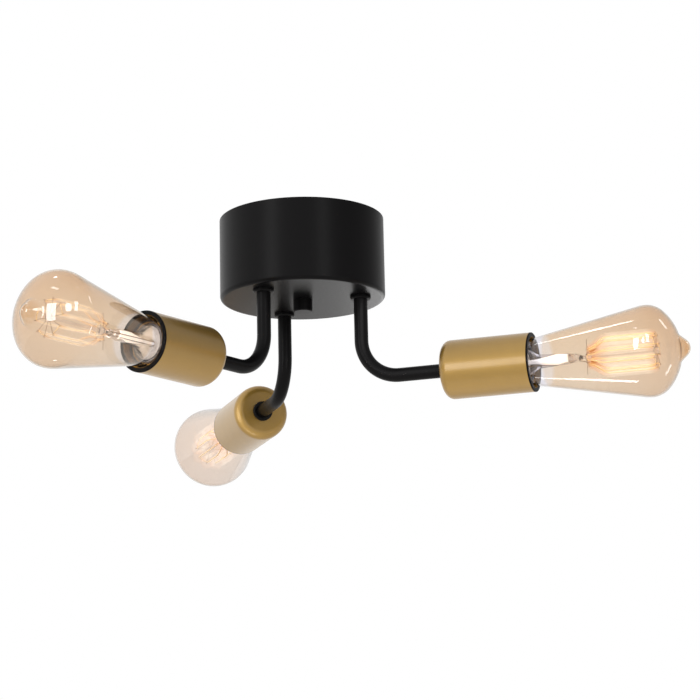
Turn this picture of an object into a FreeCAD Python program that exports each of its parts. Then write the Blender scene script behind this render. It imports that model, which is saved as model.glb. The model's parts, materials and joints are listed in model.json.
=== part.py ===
import FreeCAD, Part
import math
import os

# Semi flush ceiling light: a black drum canopy on a ceiling bracket, three bent tube arms that
# end in brass lampholder cups, and three pear shaped filament lamps.
# Frame: origin at the middle of the ceiling face, +Z up, the front of the light towards -Y.
# All sizes are in millimetres and degrees.

Vec = FreeCAD.Vector

# ---- canopy -------------------------------------------------------------------------------
canopy_radius = 60.0
canopy_height = 60.0
canopy_wall = 1.2
canopy_edge_radius = 3.0
canopy_stud_hole_clearance = 0.5

# ---- ceiling bracket, stud and finial -------------------------------------------------------
bracket_length = 100.0
bracket_width = 22.0
bracket_thickness = 2.0
bracket_drop = 10.0
bracket_middle_length = 38.0
bracket_slope_run = 8.0
bracket_bend_radius = 1.2
bracket_corner_radius = 5.0
slot_spacing = 76.0
slot_width = 5.0
slot_length = 14.0
stud_radius = 3.0
stud_thread_reach = 6.0
stud_head_radius = 5.0
stud_head_height = 3.6
stud_head_rounding = 1.0
stud_end_rounding = 0.5
stud_nut_flats = 10.0
stud_nut_height = 5.0
finial_radius = 7.0
finial_height = 9.0
finial_edge = 0.7
finial_bore_depth = 7.2

# ---- arms -----------------------------------------------------------------------------------
arm_ring_radius = 42.5
arm_places = {"a": 229.0, "b": 109.0, "c": -11.0}
arm_turns = {"a": 2.4, "b": -1.7, "c": -8.6}
tube_radius = 5.0
tube_wall = 1.0
tube_above_floor = 8.8
arm_drop = 61.0
arm_reach = 62.0
arm_bend_radius = 28.0
collar_radius = 7.5
collar_height = 2.6
collar_edge = 0.8
lock_nut_flats = 14.0
lock_nut_height = 3.0
washer_radius = 8.5
washer_thickness = 1.0

# ---- brass cup and lampholder ------------------------------------------------------------------
cup_radius = 21.0
cup_length = 64.0
cup_wall = 1.2
cup_back_radius = 6.0
holder_rim_thickness = 1.0
holder_rim_bore_radius = 17.6
holder_rim_bore_depth = 7.0
holder_skirt_gap = 0.2
holder_skirt_length = 48.5
holder_boss_radius = 8.5
tube_in_holder = 8.0
holder_floor_thickness = 12.0
holder_skirt_rounding = 2.0
holder_rim_rounding = 0.5
shell_thread_clearance = 0.35
shell_wall = 0.5
shell_flange_gap = 1.0
contact_strip_width = 5.0
contact_strip_thickness = 0.5
contact_foot_length = 9.8
contact_flat_length = 5.4
contact_tip_length = 3.2
contact_gap = 0.3
contact_rise = 1.2

# ---- lamp: sizes along its own axis run from the tip of the cap's contact ---------------------
lamp_radius = 32.0
lamp_cap_radius = 13.1
lamp_cap_length = 27.0
lamp_cap_wall = 0.35
lamp_cap_thread_start = 6.0
lamp_cap_lip_start = 3.6
lamp_cap_lip_radius = 10.3
lamp_cap_rounding = 1.0
lamp_contact_rounding = 0.8
lamp_contact_radius = 4.6
lamp_contact_height = 1.2
cap_rim_inset = 4.5
neck_radius = 12.5
neck_start = 16.0
neck_step_length = 1.5
cone_start_radius = 16.0
glass_wall = 0.9
lamp_widest = 84.5
shoulder_radius = 24.0
dome_length = 22.5
dome_edge_radius = 16.0
pip_height = 6.5
pip_base_radius = 8.0
pip_tip_radius = 4.6
stem_radius = 5.0
stem_wall = 1.0
stem_flare_length = 9.0
stem_flare_rounding = 2.0
stem_length = 42.0
pinch_length = 6.0
pinch_radius = 2.6
rod_radius = 1.0
hub_radius = 2.6
hub_length = 3.0
lower_hub_place = 69.0
upper_hub_place = 117.0
cage_radius = 12.5
cage_foot_radius = 6.0
cage_foot_length = 2.5
cage_spread_length = 9.5
cage_foot_bend = 3.0
cage_shoulder_bend = 10.0
cage_strands = 10
strand_radius = 0.45
link_radius = 0.35
link_inset = 1.0
hook_radius = 0.3

# ---- wiring ------------------------------------------------------------------------------------
lead_radius = 1.7
lead_rise = 16.0
terminal_inner_face = 26.0
terminal_depth = 16.0
terminal_height = 13.0
terminal_pitch = 10.0
terminal_poles = 4
terminal_barrel_radius = 4.2
terminal_web = 5.0
sleeve_radius = 2.3
sleeve_bore_radius = 1.5
sleeve_inset = 1.0
terminal_screw_radius = 1.25
terminal_screw_spacing = 8.0
block_screw_radius = 1.25
block_screw_head_radius = 2.4
block_screw_head_height = 1.8
block_screw_rounding = 0.8
earth_place_radius = 34.0
earth_stud_radius = 2.0
earth_stud_flange_radius = 3.6
earth_stud_flange_height = 0.8
earth_stud_height = 8.0
earth_stud_rounding = 0.4
earth_nut_flats = 7.0
earth_nut_height = 3.2
earth_tag_radius = 4.4
earth_tag_thickness = 0.8
earth_tag_barrel_length = 7.0
earth_tag_barrel_radius = 1.9
earth_tag_turn = -11.0
earth_lead_radius = 1.1
earth_lead_bend_place = 13.0
earth_lead_tag_gap = 1.0
earth_lead_first_run = 15.0

# ---- fits ----------------------------------------------------------------------------------------
thread_clearance = 0.05
clearance = 0.1

# ---- places worked out from the sizes above ------------------------------------------------------
floor_top = canopy_wall - canopy_height
arm_axis_z = -canopy_height - arm_drop
cup_back_x = arm_reach
cup_floor_x = cup_back_x + cup_wall
cup_mouth_x = cup_back_x + cup_length
rim_x = cup_mouth_x + holder_rim_thickness
cap_rim_x = rim_x - cap_rim_inset
contact_tip_x = cap_rim_x - lamp_cap_length
cone_start_x = cap_rim_x + neck_step_length
holder_skirt_x = cup_mouth_x - holder_skirt_length
well_floor_x = contact_tip_x - contact_gap - contact_rise - contact_strip_thickness
tube_end_x = cup_floor_x + tube_in_holder
lead_end_x = well_floor_x - holder_floor_thickness
shell_bore_radius = lamp_cap_radius + shell_thread_clearance
shell_outer_radius = shell_bore_radius + shell_wall
stud_nut_top = -bracket_drop - bracket_thickness
well_radius = shell_outer_radius + thread_clearance
rim_floor_x = rim_x - holder_rim_bore_depth
# The terminal block lies midway between two arms, and the earth stud between two others.
terminal_direction = (arm_places["a"] + arm_places["b"]) / 2
earth_direction = (arm_places["a"] + arm_places["c"] + 360) / 2


# ---- helpers ---------------------------------------------------------------------------------------
def rounded_wire(corners):
    """Closed wire in the XZ plane through (x, z, radius) corners, each rounded by a tangent arc."""
    ends = []
    count = len(corners)
    for index, (x, z, radius) in enumerate(corners):
        here = Vec(x, 0, z)
        before = corners[index - 1]
        after = corners[(index + 1) % count]
        back = (Vec(before[0], 0, before[1]) - here).normalize()
        ahead = (Vec(after[0], 0, after[1]) - here).normalize()
        if radius <= 0:
            ends.append((here, None, here))
            continue
        half = back.getAngle(ahead) / 2
        reach = radius / math.tan(half)
        inward = (back + ahead).normalize()
        middle = here + inward * (radius / math.sin(half) - radius)
        ends.append((here + back * reach, middle, here + ahead * reach))
    edges = []
    for index, (start, middle, end) in enumerate(ends):
        previous_end = ends[index - 1][2]
        if previous_end.distanceToPoint(start) > 1e-6:
            edges.append(Part.LineSegment(previous_end, start).toShape())
        if middle is not None:
            edges.append(Part.Arc(start, middle, end).toShape())
    return Part.Wire(edges)


def turned_about_z(corners):
    """Solid of revolution about Z from (radius, z, rounding) corners."""
    face = Part.Face(rounded_wire(corners))
    return face.revolve(Vec(0, 0, 0), Vec(0, 0, 1), 360)


def turned_about_arm(corners):
    """Solid of revolution about the arm's level axis from (x, radius, rounding) corners."""
    face = Part.Face(rounded_wire(corners))
    solid = face.revolve(Vec(0, 0, 0), Vec(1, 0, 0), 360)
    return solid.translated(Vec(0, 0, arm_axis_z))


def hexagon(flats, height):
    """Upright hexagonal prism on the origin, with its size across flats."""
    corner_radius = flats / math.sqrt(3)
    points = [polar(corner_radius, 60 * k, 0) for k in range(7)]
    return Part.Face(Part.makePolygon(points)).extrude(Vec(0, 0, height))


def nut(flats, height, bore_radius):
    """Hexagon nut on the origin with chamfered corners and a plain bore."""
    corner_radius = flats / math.sqrt(3)
    slope = corner_radius - flats / 2
    cone = turned_about_z([
        (0, 0, 0),
        (flats / 2, 0, 0),
        (corner_radius, slope / 2, 0),
        (corner_radius, height - slope / 2, 0),
        (flats / 2, height, 0),
        (0, height, 0),
    ])
    bore = Part.makeCylinder(bore_radius, height)
    return hexagon(flats, height).common(cone).cut(bore)


def route_wire(points, radii):
    """Straight runs through the points, joined at the inner points by tangent arcs."""
    edges = []
    start = points[0]
    for index in range(1, len(points) - 1):
        here = points[index]
        back = (points[index - 1] - here).normalize()
        ahead = (points[index + 1] - here).normalize()
        half = back.getAngle(ahead) / 2
        reach = radii[index - 1] / math.tan(half)
        middle = here + (back + ahead).normalize() * (radii[index - 1] / math.sin(half) - radii[index - 1])
        enter = here + back * reach
        leave = here + ahead * reach
        edges.append(Part.LineSegment(start, enter).toShape())
        edges.append(Part.Arc(enter, middle, leave).toShape())
        start = leave
    edges.append(Part.LineSegment(start, points[-1]).toShape())
    return Part.Wire(edges)


def rod_along(points, radii, radius):
    """Round rod carried along a route, square to it at both ends."""
    spine = route_wire(points, radii)
    circle = Part.Wire(Part.makeCircle(radius, points[0], points[1] - points[0]))
    return spine.makePipeShell([circle], True, False)


def widest_bends(points):
    """Bend radii of 0.45 of the shorter run beside each inner point."""
    radii = []
    for index in range(1, len(points) - 1):
        here = points[index]
        back = points[index - 1] - here
        ahead = points[index + 1] - here
        turn = math.pi - back.getAngle(ahead)
        radii.append(0.45 * min(back.Length, ahead.Length) / math.tan(turn / 2))
    return radii


def polar(radius, direction, z):
    """Point at a radius and compass direction about the canopy's axis."""
    angle = math.radians(direction)
    return Vec(radius * math.cos(angle), radius * math.sin(angle), z)


def on_arm(shape, arm):
    """Shape drawn about the arm's own upright axis, turned and moved to its place."""
    placed = shape.copy()
    placed.rotate(Vec(0, 0, 0), Vec(0, 0, 1), arm_places[arm] + arm_turns[arm])
    placed.translate(polar(arm_ring_radius, arm_places[arm], 0))
    return placed


def at_terminal(shape):
    """Shape drawn with +X outward from the canopy's axis, turned to the terminal block."""
    placed = shape.copy()
    placed.rotate(Vec(0, 0, 0), Vec(0, 0, 1), terminal_direction)
    return placed


# ---- canopy, bracket, stud and finial -----------------------------------------------------------
def canopy():
    """Spun drum, open to the ceiling, with a stud hole and three tube holes in its floor."""
    shell = turned_about_z([
        (0, -canopy_height, 0),
        (canopy_radius, -canopy_height, canopy_edge_radius),
        (canopy_radius, 0, 0),
        (canopy_radius - canopy_wall, 0, 0),
        (canopy_radius - canopy_wall, floor_top, canopy_edge_radius - canopy_wall),
        (0, floor_top, 0),
    ])
    floor_start = Vec(0, 0, -canopy_height)
    holes = [Part.makeCylinder(stud_radius + canopy_stud_hole_clearance, canopy_wall, floor_start)]
    for direction in arm_places.values():
        place = polar(arm_ring_radius, direction, -canopy_height)
        holes.append(Part.makeCylinder(tube_radius + clearance, canopy_wall, place))
    return shell.cut(holes)


def ceiling_bracket():
    """Steel strap with stepped down middle, two fixing slots and a stud hole."""
    half = bracket_length / 2
    middle = bracket_middle_length / 2
    knee = middle + bracket_slope_run
    tilt = math.atan2(bracket_drop, bracket_slope_run)
    shift = bracket_thickness * math.tan(tilt / 2)
    inner = bracket_bend_radius
    outer = bracket_bend_radius + bracket_thickness
    low = -bracket_drop
    under = -bracket_thickness
    strap = Part.Face(rounded_wire([
        (-half, 0, 0),
        (-knee, 0, outer),
        (-middle, low, inner),
        (middle, low, inner),
        (knee, 0, outer),
        (half, 0, 0),
        (half, under, 0),
        (knee + shift, under, inner),
        (middle + shift, low + under, outer),
        (-middle - shift, low + under, outer),
        (-knee - shift, under, inner),
        (-half, under, 0),
    ])).extrude(Vec(0, bracket_width, 0))
    strap = strap.translated(Vec(0, -bracket_width / 2, 0))
    outline = rounded_wire([
        (-half, -bracket_width / 2, bracket_corner_radius),
        (half, -bracket_width / 2, bracket_corner_radius),
        (half, bracket_width / 2, bracket_corner_radius),
        (-half, bracket_width / 2, bracket_corner_radius),
    ])
    outline.rotate(Vec(0, 0, 0), Vec(1, 0, 0), -90)
    depth = bracket_drop + bracket_thickness
    strap = strap.common(Part.Face(outline).extrude(Vec(0, 0, -depth)))
    cuts = [Part.makeCylinder(stud_radius + thread_clearance, depth, Vec(0, 0, -depth))]
    for side in (-1, 1):
        centre = side * slot_spacing / 2
        run = (slot_length - slot_width) / 2
        slot = rounded_wire([
            (centre - run - slot_width / 2, -slot_width / 2, 0.499 * slot_width),
            (centre + run + slot_width / 2, -slot_width / 2, 0.499 * slot_width),
            (centre + run + slot_width / 2, slot_width / 2, 0.499 * slot_width),
            (centre - run - slot_width / 2, slot_width / 2, 0.499 * slot_width),
        ])
        slot.rotate(Vec(0, 0, 0), Vec(1, 0, 0), -90)
        cuts.append(Part.Face(slot).extrude(Vec(0, 0, -bracket_thickness)))
    return strap.cut(cuts)


def centre_stud():
    """Stud with a round head above the strap; its end reaches into the finial."""
    top = -bracket_drop
    end = -canopy_height - stud_thread_reach
    return turned_about_z([
        (0, end, 0),
        (stud_radius, end, stud_end_rounding),
        (stud_radius, top, 0),
        (stud_head_radius, top, 0),
        (stud_head_radius, top + stud_head_height, stud_head_rounding),
        (0, top + stud_head_height, 0),
    ])


def stud_nut():
    """Hexagon nut that locks the stud under the strap."""
    shape = nut(stud_nut_flats, stud_nut_height, stud_radius + thread_clearance)
    return shape.translated(Vec(0, 0, stud_nut_top - stud_nut_height))


def finial_nut():
    """Round blind nut under the canopy, bored for the stud."""
    low = -canopy_height - finial_height
    bore = stud_radius + thread_clearance
    bore_end = -canopy_height - finial_bore_depth
    return turned_about_z([
        (0, low, 0),
        (finial_radius, low, finial_edge),
        (finial_radius, -canopy_height, 0),
        (bore, -canopy_height, 0),
        (bore, bore_end, 0),
        (0, bore_end, 0),
    ])


# ---- arms ----------------------------------------------------------------------------------------
def arm_points(first_z, last_x):
    """Corner points of the arm's centre line from inside the canopy to inside the lampholder."""
    return [Vec(0, 0, first_z), Vec(0, 0, arm_axis_z), Vec(last_x, 0, arm_axis_z)]


def arm_tube():
    """Bent tube from above the canopy floor to the lampholder."""
    points = arm_points(floor_top + tube_above_floor, tube_end_x)
    outer = rod_along(points, [arm_bend_radius], tube_radius)
    inner = rod_along(points, [arm_bend_radius], tube_radius - tube_wall)
    return outer.cut(inner)


def canopy_collar():
    """Round collar on the tube, tight under the canopy floor, with a bevelled lower edge."""
    low = -canopy_height - collar_height
    bore = tube_radius + clearance
    return turned_about_z([
        (bore, low, 0),
        (collar_radius - collar_edge, low, 0),
        (collar_radius, low + collar_edge, 0),
        (collar_radius, -canopy_height, 0),
        (bore, -canopy_height, 0),
    ])


def lock_washer():
    """Flat washer on the canopy floor."""
    ring = Part.makeCylinder(washer_radius, washer_thickness)
    hole = Part.makeCylinder(tube_radius + clearance, washer_thickness)
    return ring.cut(hole).translated(Vec(0, 0, floor_top))


def lock_nut():
    """Thin hexagon nut that clamps the canopy floor against the collar."""
    shape = nut(lock_nut_flats, lock_nut_height, tube_radius + thread_clearance)
    return shape.translated(Vec(0, 0, floor_top + washer_thickness))


def cup_collar():
    """Round collar on the tube behind the cup, with a bevelled outer edge."""
    back = cup_back_x - collar_height
    bore = tube_radius + clearance
    return turned_about_arm([
        (cup_back_x, bore, 0),
        (cup_back_x, collar_radius, 0),
        (back + collar_edge, collar_radius, 0),
        (back, collar_radius - collar_edge, 0),
        (back, bore, 0),
    ])


def brass_cup():
    """Deep drawn cup with a rounded back, open at the front."""
    inner_radius = cup_radius - cup_wall
    bore = tube_radius + clearance
    return turned_about_arm([
        (cup_back_x, bore, 0),
        (cup_back_x, cup_radius, cup_back_radius),
        (cup_mouth_x, cup_radius, 0),
        (cup_mouth_x, inner_radius, 0),
        (cup_floor_x, inner_radius, cup_back_radius - cup_wall),
        (cup_floor_x, bore, 0),
    ])


def lampholder_body():
    """Moulded lampholder: bored boss, floor, well for the screw shell, and a rim over the cup."""
    skirt = cup_radius - cup_wall - holder_skirt_gap
    bore = tube_radius + thread_clearance
    return turned_about_arm([
        (lead_end_x, 0, 0),
        (lead_end_x, bore, 0),
        (cup_floor_x, bore, 0),
        (cup_floor_x, holder_boss_radius, 0),
        (holder_skirt_x, holder_boss_radius, 0),
        (holder_skirt_x, skirt, holder_skirt_rounding),
        (cup_mouth_x, skirt, 0),
        (cup_mouth_x, cup_radius, 0),
        (rim_x, cup_radius, holder_rim_rounding),
        (rim_x, holder_rim_bore_radius, holder_rim_rounding),
        (rim_floor_x, holder_rim_bore_radius, 0),
        (rim_floor_x, well_radius, 0),
        (well_floor_x, well_radius, 0),
        (well_floor_x, 0, 0),
    ])


def screw_shell():
    """Thin sleeve that the lamp's cap screws into, flanged on the rim's floor; the thread is left off."""
    flange_radius = holder_rim_bore_radius - shell_flange_gap
    return turned_about_arm([
        (well_floor_x, shell_bore_radius, 0),
        (well_floor_x, shell_outer_radius, 0),
        (rim_floor_x, shell_outer_radius, 0),
        (rim_floor_x, flange_radius, 0),
        (rim_floor_x + shell_wall, flange_radius, 0),
        (rim_floor_x + shell_wall, shell_bore_radius, 0),
    ])


def centre_contact():
    """Bent spring strip that rises from the lampholder's floor to the lamp's contact."""
    thick = contact_strip_thickness
    rise = contact_rise
    foot = contact_foot_length
    tip = -contact_tip_length
    slope_start = contact_foot_length - contact_flat_length
    strip = Part.Face(Part.makePolygon([
        Vec(0, foot, 0),
        Vec(thick, foot, 0),
        Vec(thick, slope_start, 0),
        Vec(thick + rise, slope_start - 2 * rise, 0),
        Vec(thick + rise, tip, 0),
        Vec(rise, tip, 0),
        Vec(rise, slope_start - 2 * rise, 0),
        Vec(0, slope_start, 0),
        Vec(0, foot, 0),
    ])).extrude(Vec(0, 0, contact_strip_width))
    return strip.translated(Vec(well_floor_x, 0, arm_axis_z - contact_strip_width / 2))


# ---- lamp ------------------------------------------------------------------------------------------
def lamp_surface(inset):
    """Solid inside the lamp's glass, drawn inset from the outer face; no pip where inset."""
    widest = cone_start_x + lamp_widest
    radius = lamp_radius - inset
    neck = neck_radius - inset
    back = contact_tip_x + neck_start
    # The cone from the neck touches the shoulder arc, whose middle lies under the widest place.
    arc_height = lamp_radius - shoulder_radius
    rise = arc_height - cone_start_radius
    slope = math.atan2(rise, lamp_widest) + math.asin(shoulder_radius / math.hypot(lamp_widest, rise))
    touch = shoulder_radius - inset
    cone_end = (widest - touch * math.sin(slope), arc_height + touch * math.cos(slope))
    arc_middle = (widest - touch * math.sin(slope / 2), arc_height + touch * math.cos(slope / 2))
    # The dome is a tight arc round its edge and a wide arc over its end.
    edge_height = lamp_radius - dome_edge_radius
    spread = dome_length ** 2 + edge_height ** 2 - dome_edge_radius ** 2
    wide = spread / (2 * (dome_length - dome_edge_radius))
    wide_centre = widest + dome_length - wide
    meet = math.atan2(edge_height, widest - wide_centre)
    edge = dome_edge_radius - inset
    end = wide - inset
    edge_middle = (math.pi / 2 + meet) / 2
    dome_joint = (wide_centre + end * math.cos(meet), end * math.sin(meet))
    # The neck steps out to the cone just past the cap's rim.
    cone_start = (cone_start_x + inset * math.sin(slope), cone_start_radius - inset * math.cos(slope))
    shoulder_foot = cap_rim_x + inset
    pieces = [
        Part.LineSegment(Vec(back, 0, 0), Vec(back, 0, neck)),
        Part.LineSegment(Vec(back, 0, neck), Vec(shoulder_foot, 0, neck)),
        Part.LineSegment(Vec(shoulder_foot, 0, neck), Vec(cone_start[0], 0, cone_start[1])),
        Part.LineSegment(Vec(cone_start[0], 0, cone_start[1]), Vec(cone_end[0], 0, cone_end[1])),
        Part.Arc(
            Vec(cone_end[0], 0, cone_end[1]),
            Vec(arc_middle[0], 0, arc_middle[1]),
            Vec(widest, 0, radius),
        ),
        Part.Arc(
            Vec(widest, 0, radius),
            Vec(widest + edge * math.cos(edge_middle), 0, edge_height + edge * math.sin(edge_middle)),
            Vec(dome_joint[0], 0, dome_joint[1]),
        ),
    ]
    if inset > 0:
        pieces.append(Part.Arc(
            Vec(dome_joint[0], 0, dome_joint[1]),
            Vec(wide_centre + end * math.cos(meet / 2), 0, end * math.sin(meet / 2)),
            Vec(wide_centre + end, 0, 0),
        ))
        last = wide_centre + end
    else:
        foot_angle = math.asin(pip_base_radius / end)
        foot_middle = (meet + foot_angle) / 2
        foot = Vec(wide_centre + end * math.cos(foot_angle), 0, pip_base_radius)
        last = widest + dome_length + pip_height
        ball = Vec(last - pip_tip_radius, 0, 0)
        # The pip's cone runs from the dome to where it touches the ball at its tip.
        reach = foot - ball
        touch_angle = math.atan2(reach.z, reach.x) - math.acos(pip_tip_radius / reach.Length)
        pip_side = ball + Vec(math.cos(touch_angle), 0, math.sin(touch_angle)) * pip_tip_radius
        pip_middle = ball + Vec(math.cos(touch_angle / 2), 0, math.sin(touch_angle / 2)) * pip_tip_radius
        pieces.append(Part.Arc(
            Vec(dome_joint[0], 0, dome_joint[1]),
            Vec(wide_centre + end * math.cos(foot_middle), 0, end * math.sin(foot_middle)),
            foot,
        ))
        pieces.append(Part.LineSegment(foot, pip_side))
        pieces.append(Part.Arc(pip_side, pip_middle, Vec(last, 0, 0)))
    pieces.append(Part.LineSegment(Vec(last, 0, 0), Vec(back, 0, 0)))
    face = Part.Face(Part.Wire([piece.toShape() for piece in pieces]))
    solid = face.revolve(Vec(0, 0, 0), Vec(1, 0, 0), 360)
    return solid.translated(Vec(0, 0, arm_axis_z))


def lamp_glass():
    """Pear shaped glass envelope with a sealed pip at its end."""
    return lamp_surface(0).cut(lamp_surface(glass_wall))


def lamp_cap():
    """Thin metal screw cap; the thread is left off."""
    tip = contact_tip_x
    inner = lamp_cap_radius - lamp_cap_wall
    return turned_about_arm([
        (cap_rim_x, inner, 0),
        (cap_rim_x, lamp_cap_radius, 0),
        (tip + lamp_cap_thread_start, lamp_cap_radius, lamp_cap_rounding),
        (tip + lamp_cap_lip_start, lamp_cap_lip_radius, 0),
        (tip + lamp_cap_lip_start, lamp_cap_lip_radius - lamp_cap_wall, 0),
        (tip + lamp_cap_thread_start + lamp_cap_wall / 2, inner, 0),
    ])


def cap_insulator():
    """Glass insulator between the cap and its contact."""
    tip = contact_tip_x
    return turned_about_arm([
        (tip + lamp_contact_height, 0, 0),
        (tip + lamp_contact_height, lamp_contact_radius, 0),
        (tip + lamp_cap_lip_start, lamp_cap_lip_radius - lamp_cap_wall - clearance, 0),
        (tip + lamp_cap_thread_start, lamp_cap_radius - 2 * lamp_cap_wall - clearance, 0),
        (tip + lamp_cap_thread_start, 0, 0),
    ])


def cap_contact():
    """Solder-topped contact at the end of the cap."""
    tip = contact_tip_x
    return turned_about_arm([
        (tip, 0, 0),
        (tip, lamp_contact_radius, lamp_contact_rounding),
        (tip + lamp_contact_height, lamp_contact_radius, 0),
        (tip + lamp_contact_height, 0, 0),
    ])


def lamp_stem():
    """Glass stem: flare sealed in the neck, tube, pinch, rod and the two hubs that hold the hooks."""
    tip = contact_tip_x
    flare_x = tip + neck_start
    tube_x = flare_x + stem_flare_length
    pinch_x = flare_x + stem_length
    pinch_end = pinch_x + pinch_length
    rod_end = tip + upper_hub_place + hub_length
    bore = stem_radius - stem_wall
    rim = neck_radius - glass_wall
    lower = tip + lower_hub_place
    upper = tip + upper_hub_place
    return turned_about_arm([
        (flare_x, rim - stem_wall, 0),
        (flare_x, rim, 0),
        (flare_x + stem_wall, rim, 0),
        (tube_x, stem_radius, stem_flare_rounding),
        (pinch_x, stem_radius, 0),
        (pinch_end, pinch_radius, 0),
        (pinch_end, rod_radius, 0),
        (lower, rod_radius, 0),
        (lower, hub_radius, 0),
        (lower + hub_length, hub_radius, 0),
        (lower + hub_length, rod_radius, 0),
        (upper, rod_radius, 0),
        (upper, hub_radius, 0),
        (rod_end, hub_radius, 0),
        (rod_end, 0, 0),
        (pinch_x, 0, 0),
        (pinch_x - stem_radius, bore, 0),
        (tube_x, bore, 0),
    ])


def strand_place(index, x, radius):
    """Point on a strand of the filament cage, at its own angle about the arm's axis."""
    angle = 2 * math.pi * index / cage_strands
    return Vec(x, radius * math.cos(angle), arm_axis_z + radius * math.sin(angle))


def cage_ends():
    """Places along the arm of the filament cage's two ends, at the middles of the hubs."""
    half = hub_length / 2
    return contact_tip_x + lower_hub_place + half, contact_tip_x + upper_hub_place + half


def filament():
    """Squirrel cage filament: strands that spread from a narrow foot, joined in turn at both ends."""
    start, end = cage_ends()
    foot_end = start + cage_foot_length
    bends = [cage_foot_bend, cage_shoulder_bend]
    pieces = []
    for index in range(cage_strands):
        route = [
            strand_place(index, start, cage_foot_radius),
            strand_place(index, foot_end, cage_foot_radius),
            strand_place(index, foot_end + cage_spread_length, cage_radius),
            strand_place(index, end, cage_radius),
        ]
        pieces.append(rod_along(route, bends, strand_radius))
    for index in range(cage_strands - 1):
        if index % 2 == 0:
            side, radius = end - link_inset, cage_radius
        else:
            side, radius = start + link_inset, cage_foot_radius
        here = strand_place(index, side, radius)
        there = strand_place(index + 1, side, radius)
        pieces.append(Part.makeCylinder(link_radius, (there - here).Length, here, there - here))
    return pieces[0].fuse(pieces[1:])


def filament_hooks():
    """Wires that stand out from the two hubs to the ends of the strands."""
    wires = []
    for x, reach in zip(cage_ends(), (cage_foot_radius, cage_radius)):
        centre = Vec(x, 0, arm_axis_z)
        length = reach - strand_radius - hub_radius
        for index in range(cage_strands):
            outward = (strand_place(index, x, reach) - centre).normalize()
            wires.append(Part.makeCylinder(hook_radius, length, centre + outward * hub_radius, outward))
    return Part.makeCompound(wires)


# ---- wiring --------------------------------------------------------------------------------------
def pole_offset(index):
    """Sideways place of a pole from the middle of the terminal block."""
    return (index - (terminal_poles - 1) / 2) * terminal_pitch


def terminal_axis_z():
    """Height of the terminal sleeves."""
    return floor_top + terminal_height / 2


def terminal_block():
    """Moulded block: one rounded barrel per pole on a flat web, bored for sleeves and screws."""
    depth = terminal_depth
    width = (terminal_poles - 1) * terminal_pitch + 2 * terminal_barrel_radius
    inner = terminal_inner_face
    base = Part.makeBox(depth, width, terminal_web, Vec(inner, -width / 2, floor_top))
    barrels = []
    cuts = []
    axis_z = terminal_axis_z()
    for index in range(terminal_poles):
        side = pole_offset(index)
        start = Vec(inner, side, axis_z)
        barrels.append(Part.makeCylinder(terminal_barrel_radius, depth, start, Vec(1, 0, 0)))
        barrels.append(Part.makeBox(
            depth, 2 * terminal_barrel_radius, axis_z - floor_top,
            Vec(inner, side - terminal_barrel_radius, floor_top)))
        cuts.append(Part.makeCylinder(sleeve_radius, depth, start, Vec(1, 0, 0)))
        for step in (-1, 1):
            place = Vec(inner + (depth + step * terminal_screw_spacing) / 2, side, axis_z)
            cuts.append(Part.makeCylinder(terminal_screw_radius + clearance, terminal_height, place))
    middle = Vec(inner + depth / 2, 0, floor_top)
    cuts.append(Part.makeCylinder(block_screw_radius + clearance, terminal_height, middle))
    head_room = Part.makeCylinder(
        block_screw_head_radius + clearance, terminal_height, middle + Vec(0, 0, terminal_web))
    cuts.append(head_room)
    block = base.fuse(barrels).removeSplitter()
    return at_terminal(block.cut(cuts))


def terminal_sleeves():
    """Brass sleeves in the block, bored along for the leads and across for the screws."""
    sleeves = []
    length = terminal_depth - 2 * sleeve_inset
    start = terminal_inner_face + sleeve_inset
    axis_z = terminal_axis_z()
    for index in range(terminal_poles):
        side = pole_offset(index)
        place = Vec(start, side, axis_z)
        sleeve = Part.makeCylinder(sleeve_radius - thread_clearance, length, place, Vec(1, 0, 0))
        cuts = [Part.makeCylinder(sleeve_bore_radius, length, place, Vec(1, 0, 0))]
        for step in (-1, 1):
            across = terminal_inner_face + (terminal_depth + step * terminal_screw_spacing) / 2
            hole = Vec(across, side, axis_z)
            cuts.append(Part.makeCylinder(terminal_screw_radius + thread_clearance, terminal_height, hole))
        sleeves.append(sleeve.cut(cuts))
    return at_terminal(Part.makeCompound(sleeves))


def terminal_screws():
    """Slotted clamping screws, two to a pole."""
    screws = []
    axis_z = terminal_axis_z()
    foot = sleeve_bore_radius
    length = terminal_barrel_radius - foot
    for index in range(terminal_poles):
        for step in (-1, 1):
            across = terminal_inner_face + (terminal_depth + step * terminal_screw_spacing) / 2
            place = Vec(across, pole_offset(index), axis_z + foot)
            screw = Part.makeCylinder(terminal_screw_radius, length, place)
            slot = Part.makeBox(
                2 * terminal_screw_radius, terminal_screw_radius / 2, length / 4,
                place + Vec(-terminal_screw_radius, -terminal_screw_radius / 4, 0.75 * length))
            screws.append(screw.cut(slot))
    return at_terminal(Part.makeCompound(screws))


def block_screw():
    """Pan head screw that holds the terminal block to the canopy floor."""
    place = Vec(terminal_inner_face + terminal_depth / 2, 0, 0)
    shape = turned_about_z([
        (0, floor_top, 0),
        (block_screw_radius, floor_top, 0),
        (block_screw_radius, floor_top + terminal_web, 0),
        (block_screw_head_radius, floor_top + terminal_web, 0),
        (block_screw_head_radius, floor_top + terminal_web + block_screw_head_height, block_screw_rounding),
        (0, floor_top + terminal_web + block_screw_head_height, 0),
    ])
    return at_terminal(shape.translated(place))


def at_earth_stud(shape):
    """Shape drawn about the earth stud's axis, with +X along the tag, moved to its place."""
    placed = shape.copy()
    placed.rotate(Vec(0, 0, 0), Vec(0, 0, 1), terminal_direction + earth_tag_turn)
    placed.translate(polar(earth_place_radius, earth_direction, floor_top))
    return placed


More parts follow.
